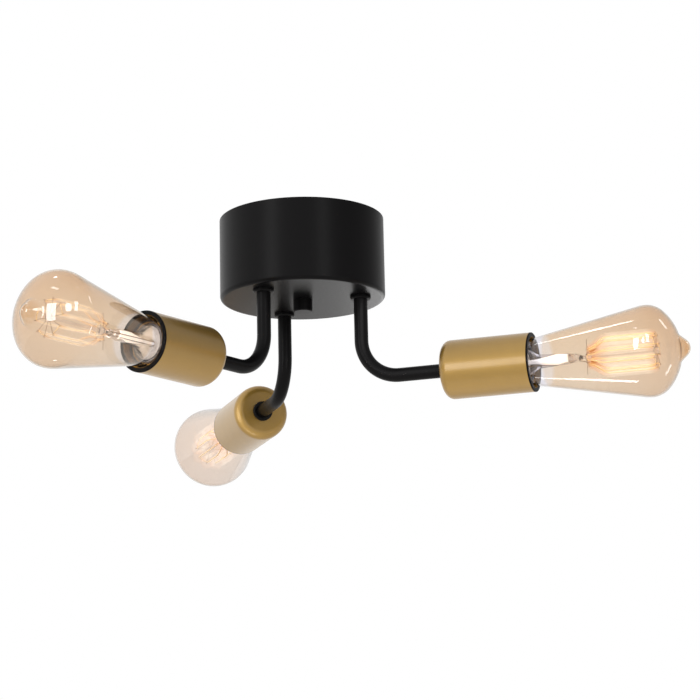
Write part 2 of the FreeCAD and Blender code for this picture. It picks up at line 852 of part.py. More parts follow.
def earth_stud():
    """Threaded stud with a flange, welded to the canopy floor."""
    return at_earth_stud(turned_about_z([
        (0, 0, 0),
        (earth_stud_flange_radius, 0, 0),
        (earth_stud_flange_radius, earth_stud_flange_height, 0),
        (earth_stud_radius, earth_stud_flange_height, 0),
        (earth_stud_radius, earth_stud_height, earth_stud_rounding),
        (0, earth_stud_height, 0),
    ]))


def earth_tag():
    """Ring tag on the stud's flange, with a barrel crimped round the earth lead."""
    base = earth_stud_flange_height
    neck_width = 2 * earth_tag_barrel_radius
    axis = Vec(earth_tag_radius, 0, base + earth_tag_barrel_radius)
    ring = Part.makeCylinder(earth_tag_radius, earth_tag_thickness, Vec(0, 0, base))
    neck_corner = Vec(earth_tag_barrel_radius, -neck_width / 2, base)
    neck = Part.makeBox(neck_width, neck_width, earth_tag_thickness, neck_corner)
    barrel = Part.makeCylinder(earth_tag_barrel_radius, earth_tag_barrel_length, axis, Vec(1, 0, 0))
    hollow = Part.makeCylinder(
        earth_lead_radius + thread_clearance, earth_tag_barrel_length + neck_width, axis, Vec(1, 0, 0))
    hole = Part.makeCylinder(earth_stud_radius + clearance, earth_stud_height)
    tag = ring.fuse([neck, barrel]).removeSplitter()
    return at_earth_stud(tag.cut([hole, hollow]))


def earth_nut():
    """Hexagon nut that clamps the tag."""
    shape = nut(earth_nut_flats, earth_nut_height, earth_stud_radius + thread_clearance)
    return at_earth_stud(shape.translated(Vec(0, 0, earth_stud_flange_height + earth_tag_thickness)))


def lead_entry_points(arm):
    """Lead from the terminal block's inner face up and over to the top of the arm's tube."""
    entry_z = terminal_axis_z()
    high = floor_top + tube_above_floor + lead_rise
    face = terminal_inner_face
    plans = {
        "a": [(face, pole_offset(2), entry_z), (12.0, 5.5, entry_z), (5.0, 21.0, high - 6.0)],
        "b": [(face, pole_offset(0), entry_z), (10.0, -16.5, entry_z), (4.0, -28.0, high - 6.0)],
        "c": [
            (face, pole_offset(1), entry_z),
            (12.0, -5.5, entry_z),
            (0.0, -9.0, high - 4.0),
            (-20.0, -6.0, high),
        ],
    }
    turn = FreeCAD.Rotation(Vec(0, 0, 1), terminal_direction)
    inside = [turn.multVec(Vec(*point)) for point in plans[arm]]
    return inside + [polar(arm_ring_radius, arm_places[arm], high)]


def arm_lead(arm):
    """Sheathed twin lead from the terminal block through the bent tube to the lampholder."""
    heading = arm_places[arm] + arm_turns[arm]
    corner = polar(arm_ring_radius, arm_places[arm], arm_axis_z)
    end = corner + polar(lead_end_x, heading, 0)
    tube_top = polar(arm_ring_radius, arm_places[arm], floor_top + tube_above_floor)
    inside = lead_entry_points(arm)
    radii = widest_bends(inside + [tube_top])
    print("lead", arm, "bend radii", [round(radius, 1) for radius in radii])
    return rod_along(inside + [corner, end], radii + [arm_bend_radius], lead_radius)


def earth_lead():
    """Earth lead from the tag's barrel along the floor and up to the terminal block."""
    turn = FreeCAD.Rotation(Vec(0, 0, 1), terminal_direction)
    tag_axis_z = floor_top + earth_stud_flange_height + earth_tag_barrel_radius
    heading = terminal_direction + earth_tag_turn
    stud = polar(earth_place_radius, earth_direction, tag_axis_z)
    entry_z = terminal_axis_z()
    side = pole_offset(3)
    lead_start = earth_tag_radius + earth_lead_tag_gap
    points = [
        stud + polar(lead_start, heading, 0),
        stud + polar(lead_start + earth_lead_first_run, heading, 0),
        turn.multVec(Vec(earth_lead_bend_place, side + 0.5, entry_z)),
        turn.multVec(Vec(terminal_inner_face, side, entry_z)),
    ]
    return rod_along(points, widest_bends(points), earth_lead_radius)


# ---- write every piece ---------------------------------------------------------------------------
def write(name, shape):
    """Check a piece and write its file."""
    solids = shape.Solids
    if not solids or not shape.isValid():
        raise RuntimeError(name + " isn't a valid solid")
    shape.exportStep("parts/" + name + ".step")
    print(name, len(solids), "solid", round(shape.Volume, 1), "mm3")


def main():
    """Make every piece of the light."""
    os.makedirs("parts", exist_ok=True)
    write("ceiling_bracket", ceiling_bracket())
    write("centre_stud", centre_stud())
    write("stud_nut", stud_nut())
    write("canopy", canopy())
    write("finial_nut", finial_nut())
    write("terminal_block", terminal_block())
    write("terminal_sleeves", terminal_sleeves())
    write("terminal_screws", terminal_screws())
    write("block_screw", block_screw())
    write("earth_tag", earth_tag())
    write("earth_stud", earth_stud())
    write("earth_nut", earth_nut())
    write("earth_lead", earth_lead())
    write("arm_lock_washers", Part.makeCompound([on_arm(lock_washer(), arm) for arm in arm_places]))
    write("arm_lock_nuts", Part.makeCompound([on_arm(lock_nut(), arm) for arm in arm_places]))
    shapes = {
        "arm_tube": arm_tube(),
        "canopy_collar": canopy_collar(),
        "cup_collar": cup_collar(),
        "brass_cup": brass_cup(),
        "lampholder_body": lampholder_body(),
        "screw_shell": screw_shell(),
        "centre_contact": centre_contact(),
        "lamp_glass": lamp_glass(),
        "lamp_cap": lamp_cap(),
        "cap_insulator": cap_insulator(),
        "cap_contact": cap_contact(),
        "lamp_stem": lamp_stem(),
        "filament": filament(),
        "filament_hooks": filament_hooks(),
    }
    for arm in arm_places:
        for name, shape in shapes.items():
            write(name + "_" + arm, on_arm(shape, arm))
        write("arm_lead_" + arm, arm_lead(arm))


main()
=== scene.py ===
import json
import math

import bpy
import bmesh
import numpy as np
from mathutils import Matrix, Vector

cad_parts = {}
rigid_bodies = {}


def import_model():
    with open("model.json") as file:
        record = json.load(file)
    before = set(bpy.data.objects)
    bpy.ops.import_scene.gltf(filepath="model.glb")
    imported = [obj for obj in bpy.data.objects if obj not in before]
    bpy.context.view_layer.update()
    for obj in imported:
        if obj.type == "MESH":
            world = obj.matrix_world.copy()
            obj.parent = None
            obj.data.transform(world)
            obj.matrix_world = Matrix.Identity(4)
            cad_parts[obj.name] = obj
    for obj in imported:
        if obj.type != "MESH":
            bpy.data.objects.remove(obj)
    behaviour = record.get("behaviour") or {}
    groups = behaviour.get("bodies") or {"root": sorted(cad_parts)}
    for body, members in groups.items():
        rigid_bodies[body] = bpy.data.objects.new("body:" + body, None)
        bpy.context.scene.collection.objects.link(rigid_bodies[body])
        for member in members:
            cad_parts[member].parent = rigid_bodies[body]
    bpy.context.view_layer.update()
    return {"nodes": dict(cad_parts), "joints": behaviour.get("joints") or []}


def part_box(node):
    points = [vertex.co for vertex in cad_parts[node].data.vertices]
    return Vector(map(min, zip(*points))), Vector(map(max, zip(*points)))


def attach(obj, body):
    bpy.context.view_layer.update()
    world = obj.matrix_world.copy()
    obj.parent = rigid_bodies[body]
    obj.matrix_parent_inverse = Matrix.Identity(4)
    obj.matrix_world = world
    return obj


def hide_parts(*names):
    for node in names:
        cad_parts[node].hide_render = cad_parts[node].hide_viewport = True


bl_info = {
    "name": "Three arm ceiling light",
    "version": (1, 0, 0),
    "blender": (4, 5, 0),
    "location": "3D View > Sidebar > Ceiling light",
    "description": "Dresses a semi flush ceiling light with brass cups and pear shaped filament lamps",
    "category": "Object",
}

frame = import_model()

# ---- places that the frame gives ------------------------------------------------------------
ARMS = "abc"
TURN = 2 * math.pi
MM = 0.001
LOOSE = 0.1 * MM   # clearance round a tube, and round the cement
SNUG = 0.05 * MM   # clearance round what is screwed or pressed in


def size_of(node):
    """Extent of a CAD node's box along X, Y and Z, in metres."""
    low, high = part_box(node)
    return high - low


COLLAR_WIDTH = 2.5 * MM
TUBE_RADIUS = size_of("canopy_collar_a").x / 2 - COLLAR_WIDTH


def arm_heading(arm):
    """Compass angle of an arm, from the direction in which its lamp comes out."""
    joint = next(j for j in frame["joints"] if j["name"] == f"lamp_{arm}_unscrew")
    return math.atan2(joint["axis"][1], joint["axis"][0])


def arm_corner(arm):
    """Point on the upright axis of the arm's tube at the height of its lamp's axis."""
    low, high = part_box("canopy_collar_" + arm)
    middle = (low + high) / 2
    return Vector((middle.x, middle.y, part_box("arm_tube_" + arm)[0].z + TUBE_RADIUS))


def along_arm(node, arm="c"):
    """Nearest and farthest place of a CAD node, from its arm's upright axis. The arms are alike."""
    mesh = frame["nodes"][f"{node}_{arm}"].data
    points = np.empty(len(mesh.vertices) * 3, np.float32)
    mesh.vertices.foreach_get("co", points)
    heading = arm_heading(arm)
    outward = np.array((math.cos(heading), math.sin(heading), 0.0))
    reach = (points.reshape(-1, 3) - np.array(arm_corner(arm))) @ outward
    return float(reach.min()), float(reach.max())


CUP_BACK, CUP_MOUTH = along_arm("brass_cup")
HOLDER_BACK, RIM = along_arm("lampholder_body")
CAGE_START, CAGE_END = along_arm("filament")
WELL_FLOOR = along_arm("screw_shell")[0]
CAP_TIP = along_arm("cap_contact")[0]
CAP_RIM = along_arm("lamp_cap")[1]
LAMP_TIP = along_arm("lamp_glass")[1]
TUBE_END = along_arm("arm_tube")[1]


def linear(code):
    """Linear RGBA of an sRGB hex code: a twelfth share near black, else the 2.4 power curve."""
    value = np.array([int(code[i:i + 2], 16) for i in (1, 3, 5)]) / 255
    share = np.where(value <= 0.04045, value / 12.92, ((value + 0.055) / 1.055) ** 2.4)
    return (*share.tolist(), 1.0)


# ---- sizes and colours that a user would change ----------------------------------------------
def length(name, description, default):
    """Length property in metres."""
    return bpy.props.FloatProperty(
        name=name, description=description, default=default, min=0, unit="LENGTH")


def angle(name, description, degrees):
    """Angle property."""
    return bpy.props.FloatProperty(
        name=name, description=description, default=math.radians(degrees), subtype="ANGLE")


def colour(name, description, code):
    """Colour property from an sRGB hex code."""
    return bpy.props.FloatVectorProperty(
        name=name, description=description, default=linear(code), size=4, min=0, max=1, subtype="COLOR")


class LIGHT_PG_body(bpy.types.PropertyGroup):
    """Sizes of the canopy, arms, cups and lampholders."""

    canopy_radius: length("Canopy radius", "Outer radius of the drum", size_of("canopy").x / 2)
    canopy_height: length("Canopy height", "Height of the drum", size_of("canopy").z)
    canopy_wall: length("Canopy wall", "Sheet thickness of the drum", 1.2 * MM)
    canopy_edge: length("Canopy edge", "Radius between the drum's side and floor", 3.0 * MM)
    stud_radius: length("Stud radius", "Radius of the centre stud", 3.0 * MM)
    finial_radius: length(
        "Finial radius", "Radius of the nut under the canopy", size_of("finial_nut").x / 2)
    stud_room: length("Stud hole's room", "Clearance of the canopy's hole round the stud", 0.5 * MM)
    tube_wall: length("Tube wall", "Wall of the bent arm tube", 1.0 * MM)
    bend_radius: length("Bend radius", "Radius of the arm's bend on its centre line", 28.0 * MM)
    collar_bevel: length("Collar bevel", "Bevel on the collars", 0.8 * MM)
    cup_radius: length("Cup radius", "Outer radius of the brass cup", 21.0 * MM)
    cup_wall: length("Cup wall", "Sheet thickness of the brass cup", 1.2 * MM)
    cup_edge: length("Cup edge", "Outer radius between the cup's back and side", 6.0 * MM)
    rim_bore: length("Rim bore", "Radius of the opening in the lampholder's rim", 17.6 * MM)
    rim_depth: length("Rim depth", "Depth of that opening", 7.0 * MM)
    skirt_length: length("Skirt length", "Part of the lampholder that fits in the cup", 48.5 * MM)
    skirt_boss: length("Boss radius", "Radius of the lampholder behind its skirt", 8.5 * MM)
    shell_wall: length("Shell wall", "Sheet thickness of the threaded shell", 0.3 * MM)
    shell_flange: length("Shell flange", "From the lamp's cap to the flange's edge", 1.9 * MM)
    shell_room: length("Shell room", "From the lamp's cap to the shell's thread", 0.12 * MM)
    well_room: length("Well room", "From the lamp's cap to the wall of the lampholder's well", 0.9 * MM)


class LIGHT_PG_lamp(bpy.types.PropertyGroup):
    """Sizes of the lamps."""

    radius: length("Lamp radius", "Radius at the widest place", 32.0 * MM)
    glass_wall: length("Glass wall", "Thickness of the blown glass", 0.9 * MM)
    step: length("Neck step", "From the cap's rim to the start of the glass cone", 1.5 * MM)
    widest: length("Widest place", "From the cone's start to the widest place", 84.5 * MM)
    shoulder: length("Shoulder radius", "Arc from the cone to the widest place", 24.0 * MM)
    dome: length("Dome length", "From the widest place to the end of the dome", 22.5 * MM)
    dome_edge: length("Dome edge", "Tight arc round the dome", 16.0 * MM)
    pip_base: length("Pip base", "Radius where the seal's pip leaves the dome", 9.8 * MM)
    pip_tip: length("Pip tip", "Radius of the ball at the pip's end", 7.0 * MM)
    neck: length("Neck radius", "Radius of the glass inside the cap", 12.5 * MM)
    cone_start: length("Cone start radius", "Radius where the cone leaves the cap", 16.0 * MM)
    cap_radius: length("Cap radius", "Crest radius of the screw cap", 13.1 * MM)
    cap_wall: length("Cap wall", "Sheet thickness of the screw cap", 0.35 * MM)
    thread_pitch: length("Thread pitch", "Pitch of the rolled cap thread", 3.63 * MM)
    thread_depth: length("Thread depth", "Depth of the rolled cap thread", 0.85 * MM)
    stem_radius: length("Stem radius", "Radius of the glass stem's tube", 5.0 * MM)
    stem_wall: length("Stem wall", "Wall of that tube", 1.0 * MM)
    press: length("Press", "From the cap's tip to the end of the stem's flat press", 62.0 * MM)
    hub_radius: length("Hub radius", "Radius of the glass hubs that hold the hooks", 2.6 * MM)
    hook_ring: length("Hook ring", "Radius of the ring at a hook's end", 0.6 * MM)
    cage_radius: length("Cage radius", "Radius of the filament cage", 12.5 * MM)
    cage_waist: length("Cage waist", "Radius of the cage where the strands leave the lower hooks", 6.0 * MM)
    strands: bpy.props.IntProperty(name="Strands", description="Strands in the cage", default=10, min=3)


class LIGHT_PG_finish(bpy.types.PropertyGroup):
    """Colours of the finishes."""

    black: colour("Black coat", "Powder coat on canopy, arms and collars", "#0d0c0d")
    brass: colour("Brass", "Satin lacquered brass of the cups", "#b38d3e")
    shell_brass: colour("Pressed brass", "Brass of shells, sleeves and contacts", "#c9a054")
    phenolic: colour("Phenolic", "Black moulded lampholder", "#090809")
    # This brown is painted warm lamplight inside the rim, not heat-baked phenolic.
    baked: colour("Baked phenolic", "The same inside the rim, where the lamp's heat has baked it", "#6a4c18")
    amber: colour("Amber glass", "Tint of one wall of the lamp's glass, near its neck", "#f4e8da")
    dome_amber: colour("Dome amber", "Tint of one wall at the dome, where the coat is thicker", "#f0e0cf")
    # Painted shade: this tint deepens the upper half of the glass, which the light from below reaches less.
    top_amber: colour("Upper amber", "Further tint of the upper half, where the coat ran together", "#fef9f2")
    slant_amber: colour("Slanting amber", "Further tint on the longer way through a slanting wall", "#e6cfae")
    pip_amber: colour("Pip amber", "Tint of the lumps in the seal's pip", "#e8cba9")
    # Painted shade: the dark edge that refraction gives the glass's outline, put into its colour.
    outline: colour("Glass outline", "Tint at the outline of the glass", "#75644f")
    clear: colour("Clear glass", "Tint of the uncoated neck and of the stem", "#f4f2f5")
    hot: colour("Hot filament", "Glow in the middle of a strand", "#fff0b4")
    cool: colour("Cool filament", "Glow at a strand's ends", "#ff9e38")
    bloom: colour("Bloom", "Light that spreads round the middle of a strand", "#fffaf0")


class LIGHT_PG_stage(bpy.types.PropertyGroup):
    """Camera and floor."""

    distance: length("Camera distance", "From the canopy's middle to the camera", 1.6818)
    elevation: angle("Camera elevation", "How far below the light the camera stands", 15.73)
    roll: angle("Camera roll", "Turn of the picture", 0.935)
    focal_px: bpy.props.FloatProperty(
        name="Focal length", description="Focal length in pixels of a 700 pixel wide picture", default=2301.6)
    canopy_px: bpy.props.FloatVectorProperty(
        name="Canopy in the picture", description="Pixel of the canopy's middle in the 700 pixel picture",
        default=(302.18, 260.32), size=2)
    floor_drop: length("Floor drop", "Height of the ceiling above the floor", 2.5)
    floor: colour("Floor", "Colour of the floor", "#e9e7e4")


def chosen(group):
    """The scene's settings of a group: body, lamp, finish or stage."""
    return getattr(bpy.context.scene, "light_" + group)


# ---- surfaces ---------------------------------------------------------------------------------
EDGE_BREAK = 0.12 * MM
ARC_STEP = math.radians(9)
ROUND_SHARE = 0.45
SUPPORT = 0.3 * MM
AROUND = 128
TUBE_AROUND = 48
FINE_PITCH = 1 * MM
FINE_DEPTH = 0.28 * MM
THREAD_STEPS = 8
ROLLED_STEPS = 14


def unit(vector):
    """Vector of length one."""
    return vector / np.linalg.norm(vector)


def arc(centre, radius, start, end, step=ARC_STEP):
    """Points centre + radius (cos a, sin a) for the angle a from start to end."""
    count = max(2, math.ceil(abs(end - start) / step)) + 1
    turn = np.linspace(start, end, count)[:, None]
    return np.asarray(centre) + radius * np.hstack([np.cos(turn), np.sin(turn)])


def rounded_profile(corners, closed=True):
    """Profile through (axial, radial, rounding) corners.

    Each corner becomes an arc that touches both its sides: its centre lies on the corner's bisector, at the
    rounding divided by the sine of half the corner. A straight run has a point near each of its ends, so
    that smooth shading stays level between two arcs.
    """
    places = np.array([corner[:2] for corner in corners], float)
    count = len(places)
    parts = []
    for index, (_, _, rounding) in enumerate(corners):
        here = places[index]
        if not closed and index in (0, count - 1):
            parts.append(here[None])
            continue
        to_last = places[index - 1] - here
        to_next = places[(index + 1) % count] - here
        back, ahead = unit(to_last), unit(to_next)
        half = math.acos(float(np.clip(back @ ahead, -1, 1))) / 2
        shorter = min(np.linalg.norm(to_last), np.linalg.norm(to_next))
        radius = min(max(rounding, EDGE_BREAK), ROUND_SHARE * 2 * shorter * math.tan(half))
        centre = here + unit(back + ahead) * radius / math.sin(half)
        first = here + back * radius / math.tan(half) - centre
        last = here + ahead * radius / math.tan(half) - centre
        side = math.copysign(1, first[0] * last[1] - first[1] * last[0])
        start = math.atan2(first[1], first[0])
        parts.append(arc(centre, radius, start, start + side * (math.pi - 2 * half)))
    points = []
    for index in range(count):
        points.append(parts[index])
        if index == count - 1 and not closed:
            break
        here, there = parts[index][-1], parts[(index + 1) % count][0]
        run = np.linalg.norm(there - here)
        if run > 4 * SUPPORT:
            step = unit(there - here) * SUPPORT
            points.append(np.stack([here + step, there - step]))
    return np.concatenate(points)


def run_length(points):
    """Distance along a line of points, from its first."""
    steps = np.linalg.norm(np.diff(points, axis=0), axis=1)
    return np.concatenate([[0], np.cumsum(steps)])


def revolved(profile, closed=True, around=AROUND, grooves=(), flatten=1.0):
    """Surface (x(u), r(u, v) cos v, r(u, v) f(u) sin v), a profile u turned by the angle v about X.

    r is the profile's radius, less each groove's depths from its first row on. flatten is f, which presses
    the section flat. The marks beside the surface are its distance along the profile, cos v and sin v.
    """
    turn = np.arange(around) * TURN / around
    radius = np.repeat(profile[:, 1:], around, 1)
    for first, depth in grooves:
        radius[first:first + len(depth)] -= depth
    press = np.broadcast_to(flatten, len(profile))[:, None]
    grid = np.stack(np.broadcast_arrays(
        profile[:, :1], radius * np.cos(turn), radius * press * np.sin(turn)), -1)
    grain = np.stack(np.broadcast_arrays(run_length(profile)[:, None], np.cos(turn), np.sin(turn)), -1)
    return grid, grain, closed, True


def turned(corners, closed=False, around=AROUND):
    """Surface turned from rounded corners, which begin and end on the axis or else are a closed ring."""
    return revolved(rounded_profile(corners, closed), closed, around)


def moved(surface, place):
    """Surface carried to a place."""
    grid, *rest = surface
    matrix = np.array(place)
    return (grid @ matrix[:3, :3].T + matrix[:3, 3], *rest)


def swept(path, across, rows, radii, closed, around):
    """Surface p(u) + r(u, v) (n cos v + b sin v): a circle v carried along a path u in the plane square to b.

    rows picks a point of the path for each ring, so that a tube's bore runs back along the same path.
    """
    tangent = np.gradient(path, axis=0)
    tangent /= np.linalg.norm(tangent, axis=1)[:, None]
    side = unit(np.asarray(across, float))
    normal = np.cross(side, tangent)[rows][:, None]
    turn = np.arange(around) * TURN / around
    ring = normal * np.cos(turn)[None, :, None] + side * np.sin(turn)[None, :, None]
    grid = path[rows][:, None] + np.reshape(radii, (len(rows), -1, 1)) * ring
    places = run_length(path)[rows]
    grain = np.stack(np.broadcast_arrays(places[:, None], np.cos(turn), np.sin(turn)), -1)
    return grid, grain, closed, True


def wire(path, across, radius, around=10):
    """Round wire along a path, with both ends closed: its radius falls to three quarters, then to nothing."""
    last = len(path) - 1
    rows = np.concatenate([[0, 0], np.arange(last + 1), [last, last]])
    radii = np.concatenate([[0, 0.75], np.ones(last + 1), [0.75, 0]]) * radius
    return swept(path, across, rows, radii, False, around)


def wire_in_plane(line, turn, radius, around=10):
    """Wire along (axial, radial) points in the plane through the axis at an angle about it."""
    outward = np.array((0, math.cos(turn), math.sin(turn)))
    path = line[:, :1] * np.array((1, 0, 0)) + line[:, 1:] * outward
    return wire(path, np.cross((1, 0, 0), outward), radius, around)


def tube(path, across, radius, wall, groove):
    """Open ended tube along a path: out along its outside, with a groove at its start, and back inside."""
    last = len(path) - 1
    ahead = np.arange(last + 1)
    rows = np.concatenate([ahead[:1], ahead, ahead[-1:], ahead[::-1]])
    outer = np.concatenate([[radius - wall / 3], np.full(last + 1, radius), [radius - wall / 3]])
    radii = np.repeat(np.concatenate([outer, np.full(last + 1, radius - wall)])[:, None], TUBE_AROUND, 1)
    radii[1:1 + len(groove)] -= groove
    return swept(path, across, rows, radii, True, TUBE_AROUND)


def thread(places, around, pitch):
    """Share of a thread's height, 0 at its root and 1 at its crest.

    It is half of one plus the cosine of the turns along the axis less the angle about it.
    """
    turn = np.arange(around) * TURN / around
    return 0.5 + 0.5 * np.cos(places[:, None] / pitch * TURN - turn)


def ease(value, start, end):
    """Smooth step: 0 before start, 1 after end, and 3 t^2 - 2 t^3 between them."""
    share = np.clip((value - start) / (end - start), 0, 1)
    return share * share * (3 - 2 * share)


def softened_line(corners):
    """Line through corners, cut at a quarter and three quarters of each run, three times over."""
    fine = corners
    for _ in range(3):
        quarter = 0.75 * fine[:-1] + 0.25 * fine[1:]
        three_quarters = 0.25 * fine[:-1] + 0.75 * fine[1:]
        inner = np.stack([quarter, three_quarters], 1).reshape(-1, 2)
        fine = np.concatenate([fine[:1], inner[1:-1], fine[-1:]])
    return fine


# ---- pieces ------------------------------------------------------------------------------------
SHARP = math.radians(35)


def quads_of(rows, columns, wrap_rows, wrap_columns):
    """Quads between neighbouring points of a grid, as an array of four indices each."""
    i, j = np.meshgrid(
        np.arange(rows if wrap_rows else rows - 1),
        np.arange(columns if wrap_columns else columns - 1), indexing="ij")
    i_next, j_next = (i + 1) % rows, (j + 1) % columns
    corners = (i * columns + j, i * columns + j_next, i_next * columns + j_next, i_next * columns + j)
    return np.stack(corners, -1).reshape(-1, 4)


def enclosed(points, quads):
    """Volume inside the quads, which is negative where they face inwards."""
    a, b, c, d = (points[quads[:, k]] for k in range(4))
    return float((np.cross(a, b) * c).sum() + (np.cross(a, c) * d).sum()) / 6


def joined_mesh(name, surfaces):
    """Mesh of several surfaces, each facing outwards, with its poles closed.

    It keeps two attributes: grain, the surfaces' marks, and local, each point's place as it was drawn.
    """
    points, quads, grain = [], [], []
    start = 0
    for grid, marks, wrap_rows, wrap_columns in surfaces:
        flat = grid.reshape(-1, 3)
        faces = quads_of(*grid.shape[:2], wrap_rows, wrap_columns)
        if enclosed(flat - flat.mean(0), faces) < 0:
            faces = faces[:, ::-1]
        points.append(flat)
        quads.append(faces + start)
        grain.append(marks.reshape(-1, 3))
        start += len(flat)
    points = np.concatenate(points)
    mesh = bpy.data.meshes.new(name)
    mesh.from_pydata(points.tolist(), [], np.concatenate(quads).tolist())
    for label, values in (("grain", np.concatenate(grain)), ("local", points)):
        attribute = mesh.attributes.new(label, "FLOAT_VECTOR", "POINT")
        attribute.data.foreach_set("vector", values.astype(np.float32).ravel())
    merged = bmesh.new()
    merged.from_mesh(mesh)
    bmesh.ops.remove_doubles(merged, verts=merged.verts, dist=1e-7)
    merged.to_mesh(mesh)
    merged.free()
    mesh.shade_smooth()
    return mesh


def add_piece(name, surfaces, place, material, body, node=None):
    """Object at the origin, with its place in its mesh, that rides on a body and may replace a CAD node."""
    mesh = joined_mesh(name, surfaces)
    mesh.transform(place)
    mesh.materials.append(material)
    piece = bpy.data.objects.new(name, mesh)
    bpy.context.scene.collection.objects.link(piece)
    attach(piece, body)
    if node:
        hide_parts(node)
    return piece


def add_arm_piece(arm, name, surfaces, material, body, node=None):
    """Piece drawn along its arm, whose own name and CAD node end in the arm's letter."""
    return add_piece(
        f"{name}_{arm}", surfaces, on_arm(arm), material, body, node and f"{node}_{arm}")


def upright(x=0, y=0, z=0):
    """Place for a surface drawn along X that stands along Z."""
    return Matrix.Translation((x, y, z)) @ Matrix.Rotation(-math.pi / 2, 4, "Y")


def on_arm(arm):
    """Place for a surface drawn along X from the arm's upright axis, on the lamp's axis."""
    return Matrix.Translation(arm_corner(arm)) @ Matrix.Rotation(arm_heading(arm), 4, "Z")


def cut_away(piece, surfaces):
    """Cuts surfaces out of a piece and marks the new edges sharp."""
    cutter = bpy.data.objects.new("cutters", joined_mesh("cutters", surfaces))
    bpy.context.scene.collection.objects.link(cutter)
    boolean = piece.modifiers.new("holes", "BOOLEAN")
    boolean.object = cutter
    boolean.solver = "EXACT"
    evaluated = piece.evaluated_get(bpy.context.evaluated_depsgraph_get())
    result = bpy.data.meshes.new_from_object(evaluated)
    piece.modifiers.clear()
    result.name = piece.name
    piece.data = result
    bpy.data.objects.remove(cutter)
    edges = bmesh.new()
    edges.from_mesh(result)
    for line in edges.edges:
        line.smooth = line.is_manifold and line.calc_face_angle(0.0) < SHARP
    edges.to_mesh(result)
    edges.free()


# ---- materials -----------------------------------------------------------------------------------
def fill(tree, sockets, values):
    """Sets or links sockets, from values by name or number or from a list of the first ones."""
    for key, value in values.items() if isinstance(values, dict) else enumerate(values):
        if isinstance(value, bpy.types.NodeSocket):
            tree.links.new(value, sockets[key])
        else:
            sockets[key].default_value = value


def add_node(tree, kind, values=(), output=0, **settings):
    """Adds one node with its settings and its inputs set or linked, and gives one of its outputs."""
    node = tree.nodes.new(kind)
    for key, value in settings.items():
        setattr(node, key, value)
    fill(tree, node.inputs, values)
    return node.outputs[output]


def dress(tree, **sockets):
    """Sets or links sockets of the surface shader."""
    fill(tree, tree.nodes["Principled BSDF"].inputs, {
        key.replace("_", " "): value for key, value in sockets.items()})


def made_once(dresser):
    """Makes a function that dresses a shader give the material, which is built on its first use.

    The material has the function's name, with an arm's letter where one is given.
    """
    def material_of(*arm):
        name = "_".join((dresser.__name__, *arm))
        material = bpy.data.materials.get(name)
        if not material:
            material = bpy.data.materials.new(name)
            material.use_nodes = True
            dresser(material.node_tree, *arm)
        return material
    return material_of


def scaled(rgba, share):
    """Colour with its light scaled."""
    return (*[value * share for value in rgba[:3]], 1.0)


def spots(tree, size, detail=2.0):
    """Pattern of soft spots about size metres across, held to the piece's own place."""
    place = add_node(tree, "ShaderNodeTexCoord", output="Object")
    return add_node(tree, "ShaderNodeTexNoise", {"Vector": place, "Scale": 1 / size, "Detail": detail})


def place_along(tree):
    """Place along the arm, in metres from its upright axis."""
    local = add_node(tree, "ShaderNodeAttribute", output="Vector", attribute_name="local")
    return add_node(tree, "ShaderNodeSeparateXYZ", (local,), "X")


def height_in_room(tree):
    """Height, in metres from the ceiling."""
    place = add_node(tree, "ShaderNodeTexCoord", output="Object")
    return add_node(tree, "ShaderNodeSeparateXYZ", (place,), "Z")


def toned(tree, rgba, dark, light, pattern):
    """Base colour whose light goes from one share to another with a pattern. Gives the colour."""
    tone = add_node(
        tree, "ShaderNodeMix", {0: pattern, 6: scaled(rgba, dark), 7: scaled(rgba, light)}, 2,
        data_type="RGBA")
    dress(tree, Base_Color=tone)
    return tone


def mottled(tree, rgba, spread, spot, roughness, drift):
    """Base colour and roughness that drift a little over spots of a given size. Gives the colour."""
    fine = spots(tree, spot / 3, 3.0)
    gloss = add_node(tree, "ShaderNodeMapRange", (fine, 0.3, 0.7, roughness - drift, roughness + drift))
    dress(tree, Roughness=gloss)
    return toned(tree, rgba, 1 - spread, 1 + spread, spots(tree, spot))


def bumpy(tree, size, strength, depth, detail=2.0):
    """Relief of soft bumps about size metres across and depth metres high."""
    bumps = {"Height": spots(tree, size, detail), "Strength": strength, "Distance": depth}
    dress(tree, Normal=add_node(tree, "ShaderNodeBump", bumps))


def lined(tree, spacing, smooth, rough, strength):
    """Fine lines round the axis of a turned piece, in its roughness and relief. Gives their pattern."""
    grain = add_node(tree, "ShaderNodeAttribute", output="Vector", attribute_name="grain")
    drawn = add_node(tree, "ShaderNodeMapping", {"Vector": grain, "Scale": (1 / spacing, 2.0, 2.0)})
    lines = add_node(tree, "ShaderNodeTexNoise", {"Vector": drawn, "Scale": 1.0, "Detail": 3.0})
    ridges = {"Height": lines, "Strength": strength, "Distance": 0.02 * MM}
    dress(
        tree, Roughness=add_node(tree, "ShaderNodeMapRange", (lines, 0.3, 0.7, smooth, rough)),
        Normal=add_node(tree, "ShaderNodeBump", ridges))
    return lines


@made_once
def black_powder_coated_steel(tree):
    """Black polyester powder coat, baked: even satin black with a faint orange peel.

    The peel is drawn at 0.9 mm, about twice its real size, so that it shows.
    """
    dress(tree, Specular_IOR_Level=0.11)
    mottled(tree, chosen("finish").black, 0.10, 6 * MM, 0.33, 0.02)
    bumpy(tree, 0.9 * MM, 0.12, 0.08 * MM)


@made_once
def satin_lacquered_brass(tree):
    """Drawn brass cup, brushed on the lathe and lacquered: soft highlights with fine rings round the axis.

    The rings are drawn 0.35 mm apart, coarser than the real brushing, so that they show.
    """
    dress(tree, Metallic=1.0, Coat_Weight=1.0, Coat_Roughness=0.24, Coat_IOR=1.65)
    toned(tree, chosen("finish").brass, 0.95, 1.05, spots(tree, 9 * MM))
    lined(tree, 0.35 * MM, 0.46, 0.52, 0.10)


